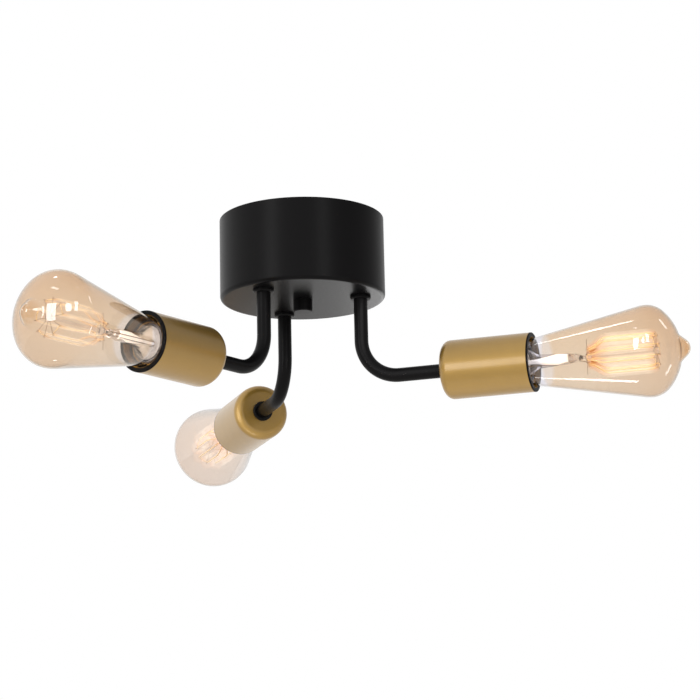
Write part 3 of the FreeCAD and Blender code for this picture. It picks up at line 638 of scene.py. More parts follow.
@made_once
def bare_pressed_brass(tree):
    """Bare brass pressed from strip: bright, with faint draw marks and a little tarnish."""
    dress(tree, Metallic=1.0)
    mottled(tree, chosen("finish").shell_brass, 0.12, 4 * MM, 0.28, 0.06)
    bumpy(tree, 0.7 * MM, 0.10, 0.03 * MM)


@made_once
def moulded_black_phenolic(tree):
    """Black phenolic, compression moulded: deep black, satin, with a faint flow texture.

    Inside the rim's opening, near its front, it is brown: a painted warm glow of the lamp's light on the
    bore.
    """
    dress(tree, Specular_IOR_Level=0.1)
    black = mottled(tree, chosen("finish").phenolic, 0.12, 3 * MM, 0.45, 0.04)
    bore = chosen("body").rim_bore
    local = add_node(tree, "ShaderNodeAttribute", output="Vector", attribute_name="local")
    across = add_node(tree, "ShaderNodeMapping", {"Vector": local, "Scale": (0, 1, 1)})
    radius = add_node(tree, "ShaderNodeVectorMath", (across,), "Value", operation="LENGTH")
    # Share of the painted lamplight: the bore's wall, from about 5 mm behind the rim's front to the front.
    inside = add_node(tree, "ShaderNodeMapRange", (radius, bore + 0.1 * MM, bore + 0.7 * MM, 1.0, 0.0))
    front = add_node(tree, "ShaderNodeMapRange", (place_along(tree), RIM - 6 * MM, RIM - 5 * MM, 0.0, 1.0))
    share = add_node(tree, "ShaderNodeMath", (inside, front), operation="MULTIPLY")
    dress(tree, Base_Color=add_node(tree, "ShaderNodeMix", {
        0: share, 6: black, 7: chosen("finish").baked}, 2, data_type="RGBA"))
    bumpy(tree, 1.1 * MM, 0.08, 0.05 * MM)


@made_once
def zinc_plated_steel(tree):
    """Steel, zinc plated and passivated: pale grey with cloudy bluish spangle."""
    dress(tree, Metallic=1.0)
    mottled(tree, linear("#a9adb1"), 0.14, 2.5 * MM, 0.36, 0.07)
    bumpy(tree, 0.8 * MM, 0.12, 0.03 * MM)


@made_once
def nickel_plated_cap(tree):
    """Thin brass, thread rolled and nickel plated: warm pale metal with draw lines round the cap."""
    dress(tree, Metallic=1.0)
    toned(tree, linear("#b9b4aa"), 0.92, 1.06, lined(tree, 0.4 * MM, 0.20, 0.30, 0.12))


@made_once
def drawn_nickel_iron_wire(tree):
    """Nickel iron support wire, drawn: dull brown with a cloudy oxide."""
    dress(tree, Metallic=1.0)
    mottled(tree, linear("#a3835c"), 0.15, 1 * MM, 0.38, 0.06)


@made_once
def dipped_tin_solder(tree):
    """Tin solder, dipped: dull silver with small lumps."""
    dress(tree, Metallic=1.0)
    mottled(tree, linear("#9d9d9c"), 0.12, 1.5 * MM, 0.42, 0.08)
    bumpy(tree, 1.2 * MM, 0.35, 0.2 * MM)


@made_once
def pressed_black_vitrite(tree):
    """Black insulating glass, pressed into the cap: glossy black with faint ripples."""
    dress(tree, Coat_Weight=0.3, Coat_Roughness=0.05)
    mottled(tree, linear("#0d0c10"), 0.2, 2 * MM, 0.12, 0.04)
    bumpy(tree, 2.2 * MM, 0.15, 0.1 * MM)


@made_once
def baked_basing_cement(tree):
    """Filled resin that holds the glass in its cap, baked: chalky pale grey with pores."""
    mottled(tree, linear("#cfc8ba"), 0.08, 1 * MM, 0.75, 0.06)
    bumpy(tree, 0.5 * MM, 0.4, 0.1 * MM, 4.0)


@made_once
def moulded_white_polyamide(tree):
    """White polyamide, injection moulded: slightly translucent with a soft sheen."""
    dress(tree, Subsurface_Weight=0.15, Subsurface_Scale=1.5 * MM)
    mottled(tree, linear("#e4e1d8"), 0.03, 3 * MM, 0.42, 0.04)
    bumpy(tree, 0.6 * MM, 0.08, 0.04 * MM)


@made_once
def extruded_black_sheath(tree):
    """Black soft vinyl sheath, extruded: matt, with faint waves along its length."""
    mottled(tree, linear("#1d1c1d"), 0.1, 2 * MM, 0.48, 0.05)
    bumpy(tree, 1.4 * MM, 0.1, 0.08 * MM)


@made_once
def extruded_earth_sheath(tree):
    """Vinyl insulation in two colours, extruded: green below and yellow along the top of the lead."""
    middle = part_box("earth_lead")[0].z + 1.2 * MM
    share = add_node(tree, "ShaderNodeMapRange", (
        height_in_room(tree), middle - 0.1 * MM, middle + 0.1 * MM, 0.0, 1.0))
    tone = add_node(tree, "ShaderNodeMix", {
        0: share, 6: linear("#2f7a35"), 7: linear("#d8c531")}, 2, data_type="RGBA")
    dress(tree, Roughness=0.42, Base_Color=tone)
    bumpy(tree, 1.2 * MM, 0.1, 0.06 * MM)


@made_once
def blown_amber_glass(tree, arm):
    """Blown soda glass with a fired amber coat that fades out at the neck.

    The coat is cloudy, thicker at the dome, seen deeper on the slant, and lumpy on the pip. Its upper half is
    tinted deeper as painted shade, and its outline carries a painted dark edge of shade. It is thinner on
    lamp b, which the photograph shows paler. Each layer mixes or multiplies one tint in by its share.
    """
    coat_share = {"a": 1.0, "b": 0.6, "c": 1.0}[arm]
    tints = chosen("finish")
    axis = arm_corner(arm).z
    along = place_along(tree)
    dome = add_node(tree, "ShaderNodeMapRange", (along, RIM + 35 * MM, RIM + 90 * MM, 0.0, 1.0))
    cloud = add_node(tree, "ShaderNodeMix", {
        0: spots(tree, 25 * MM), 6: (0.97, 0.97, 0.97, 1), 7: (1, 1, 1, 1)}, 2, data_type="RGBA")
    # Share of the painted shade, rising towards the top of the lamp.
    upper = add_node(tree, "ShaderNodeMapRange", (
        height_in_room(tree), axis - 20 * MM, axis + 25 * MM, 0.0, 1.0))
    facing = add_node(tree, "ShaderNodeLayerWeight", {"Blend": 0.5}, "Facing")
    slant = add_node(tree, "ShaderNodeMath", (facing, 3.0), operation="POWER")
    pip = add_node(tree, "ShaderNodeMapRange", (along, LAMP_TIP - 7 * MM, LAMP_TIP - 4 * MM, 0.0, 1.0))
    lumps = add_node(tree, "ShaderNodeMapRange", (spots(tree, 4 * MM), 0.35, 0.6, 0.3, 1.0))
    lumpy = add_node(tree, "ShaderNodeMath", (pip, lumps), operation="MULTIPLY")
    bare = add_node(tree, "ShaderNodeMapRange", (along, RIM + 8 * MM, RIM + 11 * MM, 1.0, 1 - coat_share))
    # Share of the painted dark edge, at the glass's outline.
    edge = add_node(tree, "ShaderNodeMapRange", (facing, 0.72, 0.97, 0.0, 1.0))
    glass = tints.amber
    for blend, share, tint in (
            ("MIX", dome, tints.dome_amber),
            ("MULTIPLY", 1.0, cloud),
            ("MULTIPLY", upper, tints.top_amber),
            ("MULTIPLY", slant, tints.slant_amber),
            ("MIX", lumpy, tints.pip_amber),
            ("MIX", bare, tints.clear),
            ("MIX", edge, tints.outline)):
        glass = add_node(
            tree, "ShaderNodeMix", {0: share, 6: glass, 7: tint}, 2, data_type="RGBA", blend_type=blend)
    dress(tree, Base_Color=glass, Transmission_Weight=1.0, IOR=1.46, Roughness=0.0, Metallic=0.0)
    bumpy(tree, 14 * MM, 0.05, 0.4 * MM)


@made_once
def drawn_clear_glass(tree):
    """Drawn lead-free glass tube, worked in a flame: clear, with slight waves."""
    dress(tree, Transmission_Weight=1.0, IOR=1.5, Roughness=0.0)
    toned(tree, chosen("finish").clear, 0.96, 1.0, spots(tree, 6 * MM))
    bumpy(tree, 5 * MM, 0.15, 0.5 * MM)


def glowing(tree, hot, faint, bright):
    """Light by the heat along a strand, which its hooks take away at its foot and at its far end."""
    along = place_along(tree)
    rise = add_node(tree, "ShaderNodeMapRange", (along, CAGE_START + 5 * MM, CAGE_START + 16 * MM, 0.0, 1.0))
    fall = add_node(tree, "ShaderNodeMapRange", (along, CAGE_END - 6 * MM, CAGE_END, 1.0, 0.0))
    heat = add_node(tree, "ShaderNodeMath", (rise, fall), operation="MULTIPLY")
    tone = add_node(tree, "ShaderNodeMix", {0: heat, 6: chosen("finish").cool, 7: hot}, 2, data_type="RGBA")
    strength = add_node(tree, "ShaderNodeMapRange", (heat, 0.0, 1.0, faint, bright))
    dress(tree, Emission_Color=tone, Emission_Strength=strength)


@made_once
def glowing_filament(tree):
    """Carbonised strand at low heat: pale yellow in the middle, orange where the hooks cool it."""
    dress(tree, Base_Color=linear("#3a2a1c"), Roughness=0.6)
    glowing(tree, chosen("finish").hot, 1.2, 2.2)


@made_once
def glow_round_strand(tree):
    """Bloom of light round a strand, as the photograph's exposure spreads it: faint, see-through, pale."""
    thin = add_node(tree, "ShaderNodeMapRange", (spots(tree, 3 * MM), 0.2, 0.8, 0.035, 0.075))
    dress(tree, Base_Color=linear("#000000"), Roughness=1.0, Specular_IOR_Level=0.0, Alpha=thin)
    glowing(tree, chosen("finish").bloom, 1.6, 2.6)


@made_once
def lit_exhaust_glass(tree):
    """Frosted glass of the exhaust tube with a painted glow, white and brightest at the press, that stands
    for the lamp's light carried in it.
    """
    mottled(tree, linear("#f2f0ec"), 0.02, 3 * MM, 0.5, 0.05)
    press = CAP_TIP + chosen("lamp").press
    painted_glow = add_node(tree, "ShaderNodeMapRange", (
        place_along(tree), press - 30 * MM, press - 22 * MM, 0.25, 0.95))
    # Painted glow: the tube emits light, though it is no lamp.
    dress(tree, Emission_Color=linear("#fffdf8"), Emission_Strength=painted_glow)


@made_once
def pale_floor(tree):
    """Painted studio floor: pale, matt and even. It glows a little, so that the glass shows no edge of it."""
    floor = chosen("stage").floor
    mottled(tree, floor, 0.01, 400 * MM, 0.8, 0.03)
    dress(tree, Emission_Color=floor, Emission_Strength=0.2)


# ---- the pieces of the light ------------------------------------------------------------------------
class LIGHT_OT_canopy(bpy.types.Operator):
    """Spun drum of the canopy, with holes for the stud and the three tubes."""

    bl_idname = "light.canopy"
    bl_label = "Canopy"

    def execute(self, context):
        sizes = chosen("body")
        radius, height = sizes.canopy_radius, sizes.canopy_height
        wall, edge = sizes.canopy_wall, sizes.canopy_edge
        shell = turned([
            (-height, 0, 0),
            (-height, radius, edge),
            (0, radius, 0.3 * MM),
            (0, radius - wall, 0.3 * MM),
            (wall - height, radius - wall, edge - wall),
            (wall - height, 0, 0),
        ], around=192)
        drum = add_piece("canopy_drum", [shell], upright(), black_powder_coated_steel(),
                         "fixture", "canopy")
        holes = [(0, 0, sizes.stud_radius + sizes.stud_room)]
        holes += [(*arm_corner(arm).xy, TUBE_RADIUS + LOOSE) for arm in ARMS]
        reach = 5 * MM
        cutters = []
        for x, y, hole in holes:
            plug = np.array([(-reach, 0), (-reach, hole), (reach, hole), (reach, 0)])
            cutters.append(moved(revolved(plug, closed=False, around=64), upright(x, y, -height)))
        cut_away(drum, cutters)
        return {"FINISHED"}


class LIGHT_OT_finial(bpy.types.Operator):
    """Turned nut under the canopy, and the threaded stud that it closes."""

    bl_idname = "light.finial"
    bl_label = "Finial and stud"

    def execute(self, context):
        self.knob()
        self.stud()
        return {"FINISHED"}

    def knob(self):
        """Round nut with a blind bore."""
        sizes = chosen("body")
        low, high = (point.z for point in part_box("finial_nut"))
        bore = sizes.stud_radius + SNUG
        bore_end = low + 1.8 * MM
        knob = turned([
            (low, 0, 0),
            (low, sizes.finial_radius, 0.7 * MM),
            (high, sizes.finial_radius, 0.2 * MM),
            (high, bore, 0.3 * MM),
            (bore_end, bore, 0),
            (bore_end, 0, 0),
        ])
        add_piece("turned_finial", [knob], upright(), black_powder_coated_steel(),
                  "finial", "finial_nut")

    def stud(self):
        """Stud with a fine thread from near its foot to near its round head."""
        radius = chosen("body").stud_radius
        low, high = (point.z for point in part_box("centre_stud"))
        head = high - 3.6 * MM
        head_radius = radius + 2 * MM
        around = AROUND // 2
        steps = np.arange(low + 0.5 * MM, head - 2 * MM, FINE_PITCH / THREAD_STEPS)
        foot = [(low, 0), (low, radius - 0.6 * MM)]
        profile = np.concatenate([
            foot,
            np.stack([steps, np.full(len(steps), radius)], 1),
            rounded_profile([
                (head - 1.5 * MM, radius, 0),
                (head, radius, 0.2 * MM),
                (head, head_radius, 0.2 * MM),
                (high, head_radius, 1.0 * MM),
                (high, 0, 0),
            ], closed=False),
        ])
        groove = FINE_DEPTH * (1 - thread(steps, around, FINE_PITCH))
        add_piece("threaded_stud", [revolved(profile, False, around, [(len(foot), groove)])], upright(),
                  zinc_plated_steel(), "fixture", "centre_stud")


def arm_path(top):
    """Centre line of an arm from its top: straight down, a quarter circle and level into the cup."""
    bend = chosen("body").bend_radius
    corner = arc((bend, bend), bend, math.pi, 1.5 * math.pi, math.radians(3))
    down = np.linspace(top, bend, 24, endpoint=False)
    level = np.linspace(bend, TUBE_END, 12)[1:]
    flat = np.concatenate([
        np.stack([np.zeros_like(down), down], 1), corner, np.stack([level, np.zeros_like(level)], 1)])
    return np.stack([flat[:, 0], np.zeros(len(flat)), flat[:, 1]], 1)


class LIGHT_OT_arms(bpy.types.Operator):
    """Bent tubes with their threaded tops, and the collars at canopy and cup."""

    bl_idname = "light.arms"
    bl_label = "Arms"

    def execute(self, context):
        sizes = chosen("body")
        for arm in ARMS:
            corner = arm_corner(arm)
            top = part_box("arm_tube_" + arm)[1].z - corner.z
            floor = -sizes.canopy_height - corner.z
            steps = np.arange(top, floor, -FINE_PITCH / THREAD_STEPS)
            upper = np.stack([np.zeros_like(steps), np.zeros_like(steps), steps], 1)
            path = np.concatenate([upper, arm_path(floor)])
            fade = ease(steps, floor, floor + FINE_PITCH)[:, None]
            groove = FINE_DEPTH * fade * (1 - thread(steps, TUBE_AROUND, FINE_PITCH))
            bent = tube(path, (0, 1, 0), TUBE_RADIUS, sizes.tube_wall, groove)
            add_arm_piece(arm, "bent_tube", [bent], black_powder_coated_steel(),
                          "fixture", "arm_tube")
            self.collars(arm)
        return {"FINISHED"}

    def collars(self, arm):
        """Two turned rings: one tight under the canopy and one behind the cup."""
        bevel = chosen("body").collar_bevel
        bore = TUBE_RADIUS + LOOSE
        low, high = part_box("canopy_collar_" + arm)
        radius, height = (high.x - low.x) / 2, high.z - low.z
        ring = turned([
            (0, bore, 0),
            (0, radius - bevel, 0.2 * MM),
            (bevel, radius, 0.2 * MM),
            (height, radius, 0),
            (height, bore, 0),
        ], closed=True, around=96)
        corner = arm_corner(arm)
        behind_cup = Matrix.Translation((CUP_BACK - height, 0, 0))
        for end, place in (("canopy", upright(corner.x, corner.y, low.z)), ("cup", on_arm(arm) @ behind_cup)):
            add_piece(f"{end}_ring_{arm}", [ring], place, black_powder_coated_steel(),
                      "fixture", f"{end}_collar_{arm}")


class LIGHT_OT_cups(bpy.types.Operator):
    """Deep drawn brass cups."""

    bl_idname = "light.cups"
    bl_label = "Brass cups"

    def execute(self, context):
        sizes = chosen("body")
        radius, wall, edge = sizes.cup_radius, sizes.cup_wall, sizes.cup_edge
        bore = TUBE_RADIUS + LOOSE
        cup = turned([
            (CUP_BACK, bore, 0),
            (CUP_BACK, radius, edge),
            (CUP_MOUTH, radius, 0),
            (CUP_MOUTH, radius - wall, 0),
            (CUP_BACK + wall, radius - wall, edge - wall),
            (CUP_BACK + wall, bore, 0),
        ], closed=True, around=160)
        for arm in ARMS:
            add_arm_piece(
                arm, "drawn_cup", [cup], satin_lacquered_brass(), "fixture", "brass_cup")
        return {"FINISHED"}


class LIGHT_OT_lampholders(bpy.types.Operator):
    """Moulded lampholders with their threaded shells."""

    bl_idname = "light.lampholders"
    bl_label = "Lampholders"

    def execute(self, context):
        sizes = chosen("body")
        bore_floor = RIM - sizes.rim_depth
        well = chosen("lamp").cap_radius + sizes.well_room
        holder, shell = self.holder(bore_floor, well), self.shell(bore_floor, well)
        for arm in ARMS:
            add_arm_piece(arm, "moulded_holder", [holder], moulded_black_phenolic(),
                          "fixture", "lampholder_body")
            add_arm_piece(
                arm, "rolled_shell", [shell], bare_pressed_brass(), "fixture", "screw_shell")
        return {"FINISHED"}

    def holder(self, bore_floor, well):
        """Boss on the tube, skirt in the cup, rim that covers the cup's mouth, and the well for the shell."""
        sizes = chosen("body")
        skirt = sizes.cup_radius - sizes.cup_wall - 0.2 * MM
        skirt_back = CUP_MOUTH - sizes.skirt_length
        cup_floor = CUP_BACK + sizes.cup_wall
        spigot = TUBE_RADIUS + SNUG
        return turned([
            (HOLDER_BACK, 0, 0),
            (HOLDER_BACK, spigot, 0),
            (cup_floor, spigot, 0),
            (cup_floor, sizes.skirt_boss, 0),
            (skirt_back, sizes.skirt_boss, 0),
            (skirt_back, skirt, 2 * MM),
            (CUP_MOUTH, skirt, 0),
            (CUP_MOUTH, sizes.cup_radius, 0),
            (RIM, sizes.cup_radius, 0.5 * MM),
            (RIM, sizes.rim_bore, 0.5 * MM),
            (bore_floor, sizes.rim_bore, 0.3 * MM),
            (bore_floor, well, 0),
            (WELL_FLOOR, well, 0),
            (WELL_FLOOR, 0, 0),
        ], around=160)

    def shell(self, front, well):
        """Thread rolled sleeve with a flange on the floor of the rim's opening.

        Its thread is shallower than the cap's, so that the cap slides out without turning.
        """
        sizes, lamp = chosen("body"), chosen("lamp")
        wall = sizes.shell_wall
        crest = lamp.cap_radius + sizes.shell_room
        depth = well - SNUG - wall - crest
        sleeve = front - 1 * MM
        steps = np.arange(WELL_FLOOR + 0.5 * MM, sleeve, lamp.thread_pitch / ROLLED_STEPS)
        wave = thread(steps, AROUND, lamp.thread_pitch) * depth
        flange = lamp.cap_radius + sizes.shell_flange
        lip = rounded_profile([
            (sleeve, crest + depth, 0),
            (front + wall, crest + depth, 0.6 * MM),
            (front + wall, flange, 0.1 * MM),
            (front, flange, 0.1 * MM),
            (front, crest + depth + wall, 0.6 * MM),
            (sleeve, crest + depth + wall, 0),
        ], closed=False)
        inner = np.stack([steps, np.full(len(steps), crest)], 1)
        outer = inner[::-1] + (0, wall)
        grooves = [(0, -wave), (len(inner) + len(lip), -wave[::-1])]
        return revolved(np.concatenate([inner, lip, outer]), grooves=grooves)


# ---- lamps --------------------------------------------------------------------------------------
NECK_START = 16 * MM   # from the cap's tip to the neck's end inside the cap
TIP_ROOM = 0.15 * MM   # kept free past the pip, within the lamp's length


def glass_profile(inset):
    """Profile of the blown glass, drawn inset from its outer face.

    Neck, step, straight cone, shoulder arc, tight dome arc and wide end arc follow each other, each arc
    tangent to what lies before it. The outer face ends in a cone and a ball for the seal's tip.
    """
    lamp = chosen("lamp")
    cone = CAP_RIM + lamp.step
    widest = cone + lamp.widest
    arc_height = lamp.radius - lamp.shoulder
    rise = arc_height - lamp.cone_start
    slope = math.atan2(rise, lamp.widest) + math.asin(lamp.shoulder / math.hypot(lamp.widest, rise))
    edge_height = lamp.radius - lamp.dome_edge
    spread = lamp.dome ** 2 + edge_height ** 2 - lamp.dome_edge ** 2
    wide = spread / (2 * (lamp.dome - lamp.dome_edge))
    wide_centre = widest + lamp.dome - wide
    meet = math.atan2(edge_height, widest - wide_centre)
    step = math.radians(2)
    neck = [
        (CAP_TIP + NECK_START, lamp.neck - inset),
        (CAP_RIM + inset, lamp.neck - inset),
        (cone + inset * math.sin(slope), lamp.cone_start - inset * math.cos(slope)),
    ]
    shoulder = arc((widest, arc_height), lamp.shoulder - inset, math.pi / 2 + slope, math.pi / 2, step)
    edge = arc((widest, edge_height), lamp.dome_edge - inset, math.pi / 2, meet, step)
    pip_base, pip_tip = lamp.pip_base - inset / 2, lamp.pip_tip - inset
    foot = math.asin(pip_base / (wide - inset))
    end = arc((wide_centre, 0), wide - inset, meet, foot, step)
    ball = np.array((LAMP_TIP - TIP_ROOM - inset - pip_tip, 0.0))
    reach = end[-1] - ball
    touch = math.atan2(reach[1], reach[0]) - math.acos(pip_tip / np.linalg.norm(reach))
    tip = arc(ball, pip_tip, touch, 0, math.radians(6))
    return np.concatenate([neck, shoulder, edge[1:], end[1:], tip])


def softened(profile, spacing=0.7 * MM, width=1.8 * MM):
    """Profile resampled evenly and averaged over a cosine window, as a flame rounds glass.

    Its start runs on in line, and past its end on the axis it is mirrored, so both ends stay in place.
    """
    along = run_length(profile)
    even = np.linspace(0, along[-1], int(along[-1] / spacing))
    points = np.stack([np.interp(even, along, profile[:, k]) for k in range(2)], 1)
    half = max(2, int(width / spacing))
    before = 2 * points[0] - points[half:0:-1]
    after = points[-2:-half - 2:-1] * (1, -1)
    window = np.hanning(2 * half + 3)[1:-1]
    padded = np.concatenate([before, points, after])
    smooth = np.stack([np.convolve(padded[:, k], window / window.sum(), "valid") for k in range(2)], 1)
    smooth[-1, 1] = 0
    return smooth


class LIGHT_OT_glass(bpy.types.Operator):
    """Pear shaped glass envelopes, each one skin of outer and inner face that join at the neck's end."""

    bl_idname = "light.glass"
    bl_label = "Lamp glass"

    def execute(self, context):
        outer, inner = softened(glass_profile(0)), softened(glass_profile(chosen("lamp").glass_wall))
        envelope = revolved(np.concatenate([outer, inner[::-1]]), around=144)
        for arm in ARMS:
            piece = add_arm_piece(arm, "pear_glass", [envelope], blown_amber_glass(arm),
                                  "lamp_" + arm, "lamp_glass")
            piece.visible_shadow = False
        return {"FINISHED"}


class LIGHT_OT_caps(bpy.types.Operator):
    """Screw caps with rolled thread, insulator, contact and cement."""

    bl_idname = "light.caps"
    bl_label = "Lamp caps"
    disc = 1.2 * MM        # from the cap's tip to the insulator
    nose = 3.6 * MM        # from the cap's tip to the metal's open nose
    shoulder = 6 * MM      # from the cap's tip to the metal's full radius

    def execute(self, context):
        cap, insulator, contact, cement = self.cap(), self.insulator(), self.contact(), self.cement()
        for arm in ARMS:
            body = "lamp_" + arm
            add_arm_piece(arm, "rolled_cap", [cap], nickel_plated_cap(), body, "lamp_cap")
            add_arm_piece(arm, "vitrite_disc", [insulator], pressed_black_vitrite(),
                          body, "cap_insulator")
            add_arm_piece(
                arm, "solder_contact", [contact], dipped_tin_solder(), body, "cap_contact")
            add_arm_piece(arm, "cement_ring", [cement], baked_basing_cement(), body)
        return {"FINISHED"}

    def cap(self):
        """Nose, rolled thread and skirt outside, and the same thread back along the inside."""
        lamp = chosen("lamp")
        radius, wall, fade_length = lamp.cap_radius, lamp.cap_wall, 2 * MM
        open_nose = 10.3 * MM
        steps = np.arange(CAP_TIP + 6.5 * MM, CAP_RIM - 5 * MM, lamp.thread_pitch / ROLLED_STEPS)
        first, last = steps[0], steps[-1]
        fade = ease(steps, first, first + fade_length) * (1 - ease(steps, last - fade_length, last))
        root = lamp.thread_depth * fade[:, None] * (1 - thread(steps, AROUND, lamp.thread_pitch))
        nose = rounded_profile([
            (CAP_TIP + self.nose, open_nose - wall, 0),
            (CAP_TIP + self.nose, open_nose, 0.1 * MM),
            (CAP_TIP + self.shoulder, radius - 0.2 * MM, 1 * MM),
            (first, radius, 0),
        ], closed=False)
        skirt = rounded_profile([
            (last + 0.3 * MM, radius, 0),
            (CAP_RIM - 1.2 * MM, radius, 0.4 * MM),
            (CAP_RIM - 0.6 * MM, radius - 0.15 * MM, 0.3 * MM),
            (CAP_RIM, radius, 0.1 * MM),
            (CAP_RIM, radius - wall, 0.1 * MM),
            (last + 0.3 * MM, radius - wall, 0),
        ], closed=False)
        outside = np.stack([steps, np.full(len(steps), radius)], 1)[1:]
        inside = np.stack([steps, np.full(len(steps), radius - wall)], 1)[:0:-1]
        end = [(CAP_TIP + self.shoulder + 0.3 * MM, radius - 1 * MM)]
        profile = np.concatenate([nose, outside, skirt, inside, end])
        back = len(nose) + len(outside) + len(skirt)
        return revolved(profile, grooves=[(len(nose), root[1:]), (back, root[:0:-1])])

    def insulator(self):
        """Disc of black glass, from the contact out to the metal."""
        seat = chosen("lamp").cap_radius - 1.2 * MM
        return turned([
            (CAP_TIP + self.disc, 0, 0),
            (CAP_TIP + self.disc, 4.6 * MM, 0.3 * MM),
            (CAP_TIP + self.nose, 9.8 * MM, 0.8 * MM),
            (CAP_TIP + self.shoulder, seat, 0.5 * MM),
            (CAP_TIP + self.shoulder, 0, 0),
        ])

    def contact(self):
        """Low dome of solder."""
        back = self.disc + SNUG
        return turned([
            (CAP_TIP, 0, 0),
            (CAP_TIP + 0.1 * MM, 2.4 * MM, 1 * MM),
            (CAP_TIP + 0.5 * MM, 4.6 * MM, 0.4 * MM),
            (CAP_TIP + back, 4.6 * MM, 0.1 * MM),
            (CAP_TIP + back, 0, 0),
        ], around=64)

    def cement(self):
        """Plug between the cap and the glass, open round the exhaust tube and dished at its front."""
        lamp = chosen("lamp")
        back, front = CAP_TIP + 9 * MM, CAP_RIM - 1.7 * MM
        dish = CAP_RIM - 3.5 * MM
        bore = 2.6 * MM
        in_cap = lamp.cap_radius - lamp.cap_wall - lamp.thread_depth - LOOSE
        in_glass = lamp.neck - lamp.glass_wall - LOOSE
        return turned([
            (back, bore, 1 * MM),
            (back, in_cap, 1 * MM),
            (CAP_TIP + NECK_START - 0.2 * MM, in_cap, 0.3 * MM),
            (CAP_TIP + NECK_START, in_glass, 0.1 * MM),
            (front, in_glass, 0.3 * MM),
            (dish, 6 * MM, 1 * MM),
            (dish, bore, 1 * MM),
        ], closed=True)


class LIGHT_OT_mounts(bpy.types.Operator):
    """Glass stems with flare, press, rod and hubs, exhaust tubes, and the wires that the stems hold."""

    bl_idname = "light.mounts"
    bl_label = "Lamp mounts"
    hub_half = 1.5 * MM
    hook_wire, guard_wire, lead_wire = 0.13 * MM, 0.16 * MM, 0.25 * MM

    def execute(self, context):
        stem, exhaust, wires = self.stem(), self.exhaust(), self.wires()
        for arm in ARMS:
            body = "lamp_" + arm
            piece = add_arm_piece(
                arm, "glass_stem", [stem], drawn_clear_glass(), body, "lamp_stem")
            piece.visible_shadow = False
            add_arm_piece(arm, "exhaust_tube", [exhaust], lit_exhaust_glass(), body)
            add_arm_piece(
                arm, "support_wires", wires, drawn_nickel_iron_wire(), body, "filament_hooks")
        return {"FINISHED"}

    def hub(self, place):
        """Corners of a round hub on the rod."""
        radius, rod = chosen("lamp").hub_radius, 1.0 * MM
        near, far = place - self.hub_half, place + self.hub_half
        return [
            (near - 0.5 * MM, rod, 0.5 * MM),
            (near, radius, 1.2 * MM),
            (far, radius, 1.2 * MM),
            (far + 0.5 * MM, rod, 0.5 * MM),
        ]

    def stem(self):
        """Flare in the neck, hollow tube, press drawn flat, solid rod and two hubs."""
        lamp = chosen("lamp")
        radius, wall = lamp.stem_radius, lamp.stem_wall
        flare = CAP_RIM - 1.5 * MM
        flare_end = flare + 9 * MM
        press = CAP_TIP + lamp.press
        rim = lamp.neck - lamp.glass_wall
        profile = rounded_profile([
            (press, 0, 0),
            (press - radius, radius - wall, 2 * MM),
            (flare_end, radius - wall, 5 * MM),
            (flare, rim - wall, 0.2 * MM),
            (flare, rim, 0.2 * MM),
            (flare + wall, rim, 0.4 * MM),
            (flare_end, radius, 5 * MM),
            (press, radius, 2 * MM),
            (press + 3.5 * MM, 2.6 * MM, 1 * MM),
            (press + 4.5 * MM, 1.2 * MM, 1 * MM),
            *self.hub(CAGE_START),
            *self.hub(CAGE_END)[:-1],
            (CAGE_END + self.hub_half + 0.3 * MM, 0, 0),
        ], closed=False)
        x = profile[:, 0]
        pressed = ease(x, press - 6 * MM, press - 1 * MM) * (1 - ease(x, press + 3 * MM, press + 5 * MM))
        return revolved(profile, False, 64, flatten=1 - 0.4 * pressed)

    def exhaust(self):
        """Slim tube inside the stem, through which the lamp was emptied; it widens to the press."""
        back, press = CAP_TIP + 14 * MM, CAP_TIP + chosen("lamp").press
        slim = 1.6 * MM
        return turned([
            (back, 0, 0),
            (back, slim, 0.5 * MM),
            (press - 30 * MM, slim, 10 * MM),
            (press - 10 * MM, 3.6 * MM, 6 * MM),
            (press - 6.2 * MM, 3.2 * MM, 2.5 * MM),
            (press - 5.6 * MM, 0, 0),
        ], around=48)

    def wires(self):
        """Hooks that stand out from the hubs to the strands, two guards and two lead-in wires."""
        lamp = chosen("lamp")
        made = []
        for place, reach in ((CAGE_START, lamp.cage_waist), (CAGE_END, lamp.cage_radius - lamp.hook_ring)):
            for index in range(lamp.strands):
                made.append(self.hook(place, reach, TURN * index / lamp.strands))
        guard = np.array([(CAGE_START - 1 * MM, 1 * MM), (CAGE_START - 1 * MM, lamp.cage_radius + 0.1 * MM)])
        for side in (0.25, 0.75):
            made.append(wire_in_plane(guard, TURN * side, self.guard_wire))
        lead = softened_line(np.array([
            (CAP_TIP + 17 * MM, 3.8 * MM), (CAGE_START - 14 * MM, 3.8 * MM),
            (CAGE_START - 6 * MM, 2.6 * MM), (CAGE_START, lamp.cage_waist)]))
        for side in (0, lamp.strands - 1):
            made.append(wire_in_plane(lead, TURN * side / lamp.strands, self.lead_wire))
        return made

    def hook(self, place, reach, turn):
        """Straight wire that ends in an open ring round the strand."""
        ring = chosen("lamp").hook_ring
        loop = arc((place, reach + ring), ring, -math.pi / 2, 1.1 * math.pi, math.radians(30))
        root = (place, chosen("lamp").hub_radius - 0.3 * MM)
        return wire_in_plane(np.concatenate([[root], loop]), turn, self.hook_wire)


